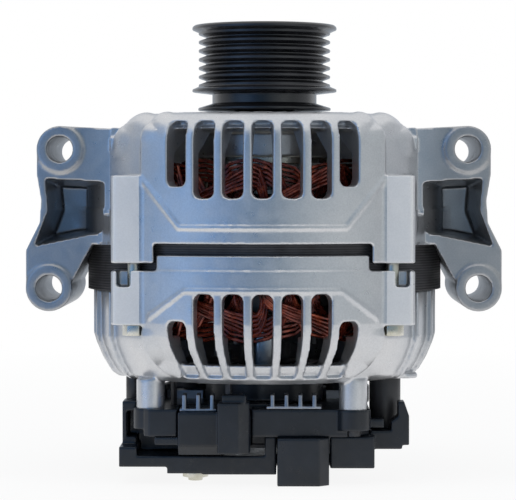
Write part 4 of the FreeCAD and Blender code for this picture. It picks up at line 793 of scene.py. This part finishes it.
def build_surround():
    """A screen round the object that only reflections see: blue in front and left, grey at the right."""
    radius, top, steps = 0.36, 0.44, 96
    shades = ((-180, (0.45, 0.50, 0.56)), (-150, (0.60, 0.64, 0.70)), (-130, (0.95, 0.97, 1.00)),
              (-108, (0.62, 0.64, 0.67)), (-84, (0.42, 0.46, 0.52)), (-64, (0.18, 0.34, 0.60)),
              (-45, (0.34, 0.58, 1.00)), (-34, (0.25, 0.47, 0.84)), (-24, (0.16, 0.32, 0.62)),
              (-12, (0.12, 0.24, 0.42)), (0, (0.15, 0.25, 0.38)), (11, (0.25, 0.33, 0.41)),
              (20, (0.38, 0.45, 0.51)), (36, (0.58, 0.63, 0.66)), (46, (0.64, 0.68, 0.70)),
              (62, (0.46, 0.50, 0.52)), (84, (0.52, 0.54, 0.57)), (108, (0.62, 0.64, 0.67)),
              (130, (0.95, 0.97, 1.00)), (150, (0.60, 0.64, 0.70)), (180, (0.45, 0.50, 0.56)))
    material = bpy.data.materials.new("surround")
    tree = emptied_tree(material)
    place = tree.nodes.new("ShaderNodeTexCoord")
    swing = tree.nodes.new("ShaderNodeTexGradient")
    swing.gradient_type = "RADIAL"
    band = tree.nodes.new("ShaderNodeValToRGB")
    spread(band.color_ramp.elements, [(degrees / 360 + 0.5, colour) for degrees, colour in shades])
    light = tree.nodes.new("ShaderNodeEmission")
    out = tree.nodes.new("ShaderNodeOutputMaterial")
    tree.links.new(place.outputs["Object"], swing.inputs["Vector"])
    tree.links.new(swing.outputs["Fac"], band.inputs["Fac"])
    tree.links.new(band.outputs["Color"], light.inputs["Color"])
    tree.links.new(light.outputs[0], out.inputs["Surface"])
    swings = [FULL_TURN * i / steps for i in range(steps)]
    points = [(radius * math.cos(s), radius * math.sin(s), z) for z in (0.0, top) for s in swings]
    faces = [(i, (i + 1) % steps, steps + (i + 1) % steps, steps + i) for i in range(steps)]
    mesh = bpy.data.meshes.new("surround")
    mesh.from_pydata(points, [], faces)
    mesh.materials.append(material)
    screen = new_object("surround", mesh)
    screen.rotation_euler = (0, 0, -FULL_TURN / 4)
    screen.visible_camera = False
    screen.visible_diffuse = False
    screen.visible_transmission = False
    screen.visible_shadow = False


def build_studio():
    build_floor()
    build_world()
    centre = (0, 0, 0.09)
    lamp("left_box", (-1.1, -0.45, 0.45), centre, (0.5, 1.1), 5.0)
    lamp("right_box", (1.1, -0.55, 0.40), centre, (0.4, 1.0), 3.5)
    lamp("top_box", (0.0, -0.3, 1.2), centre, (1.1, 0.8), 6.0)
    lamp("back_box", (0.1, 1.2, 0.6), centre, (1.2, 0.8), 3.0)
    build_surround()


def build_camera():
    """The photograph's view: from the side of the connectors, level with the housings."""
    right, distance, level = 9.7, 1000.0, 116.0
    focal_pixels, wide, high = 2430.0, 516, 500
    axis_x, axis_y = 288.0, 190.0
    data = bpy.data.cameras.new("camera")
    data.sensor_fit = "HORIZONTAL"
    data.sensor_width = 36.0
    data.lens = focal_pixels / wide * data.sensor_width
    data.clip_start, data.clip_end = 0.05, 50.0
    item = bpy.data.objects.new("camera", data)
    bpy.context.scene.collection.objects.link(item)
    item.location = (right * MM, -distance * MM, level * MM)
    aim = Vector(((wide / 2 - axis_x) / focal_pixels, 1.0, -(high / 2 - axis_y) / focal_pixels))
    item.rotation_euler = aim.to_track_quat("-Z", "Y").to_euler()
    bpy.context.scene.camera = item


build_studio()
build_camera()
bpy.context.scene.view_settings.view_transform = "Standard"
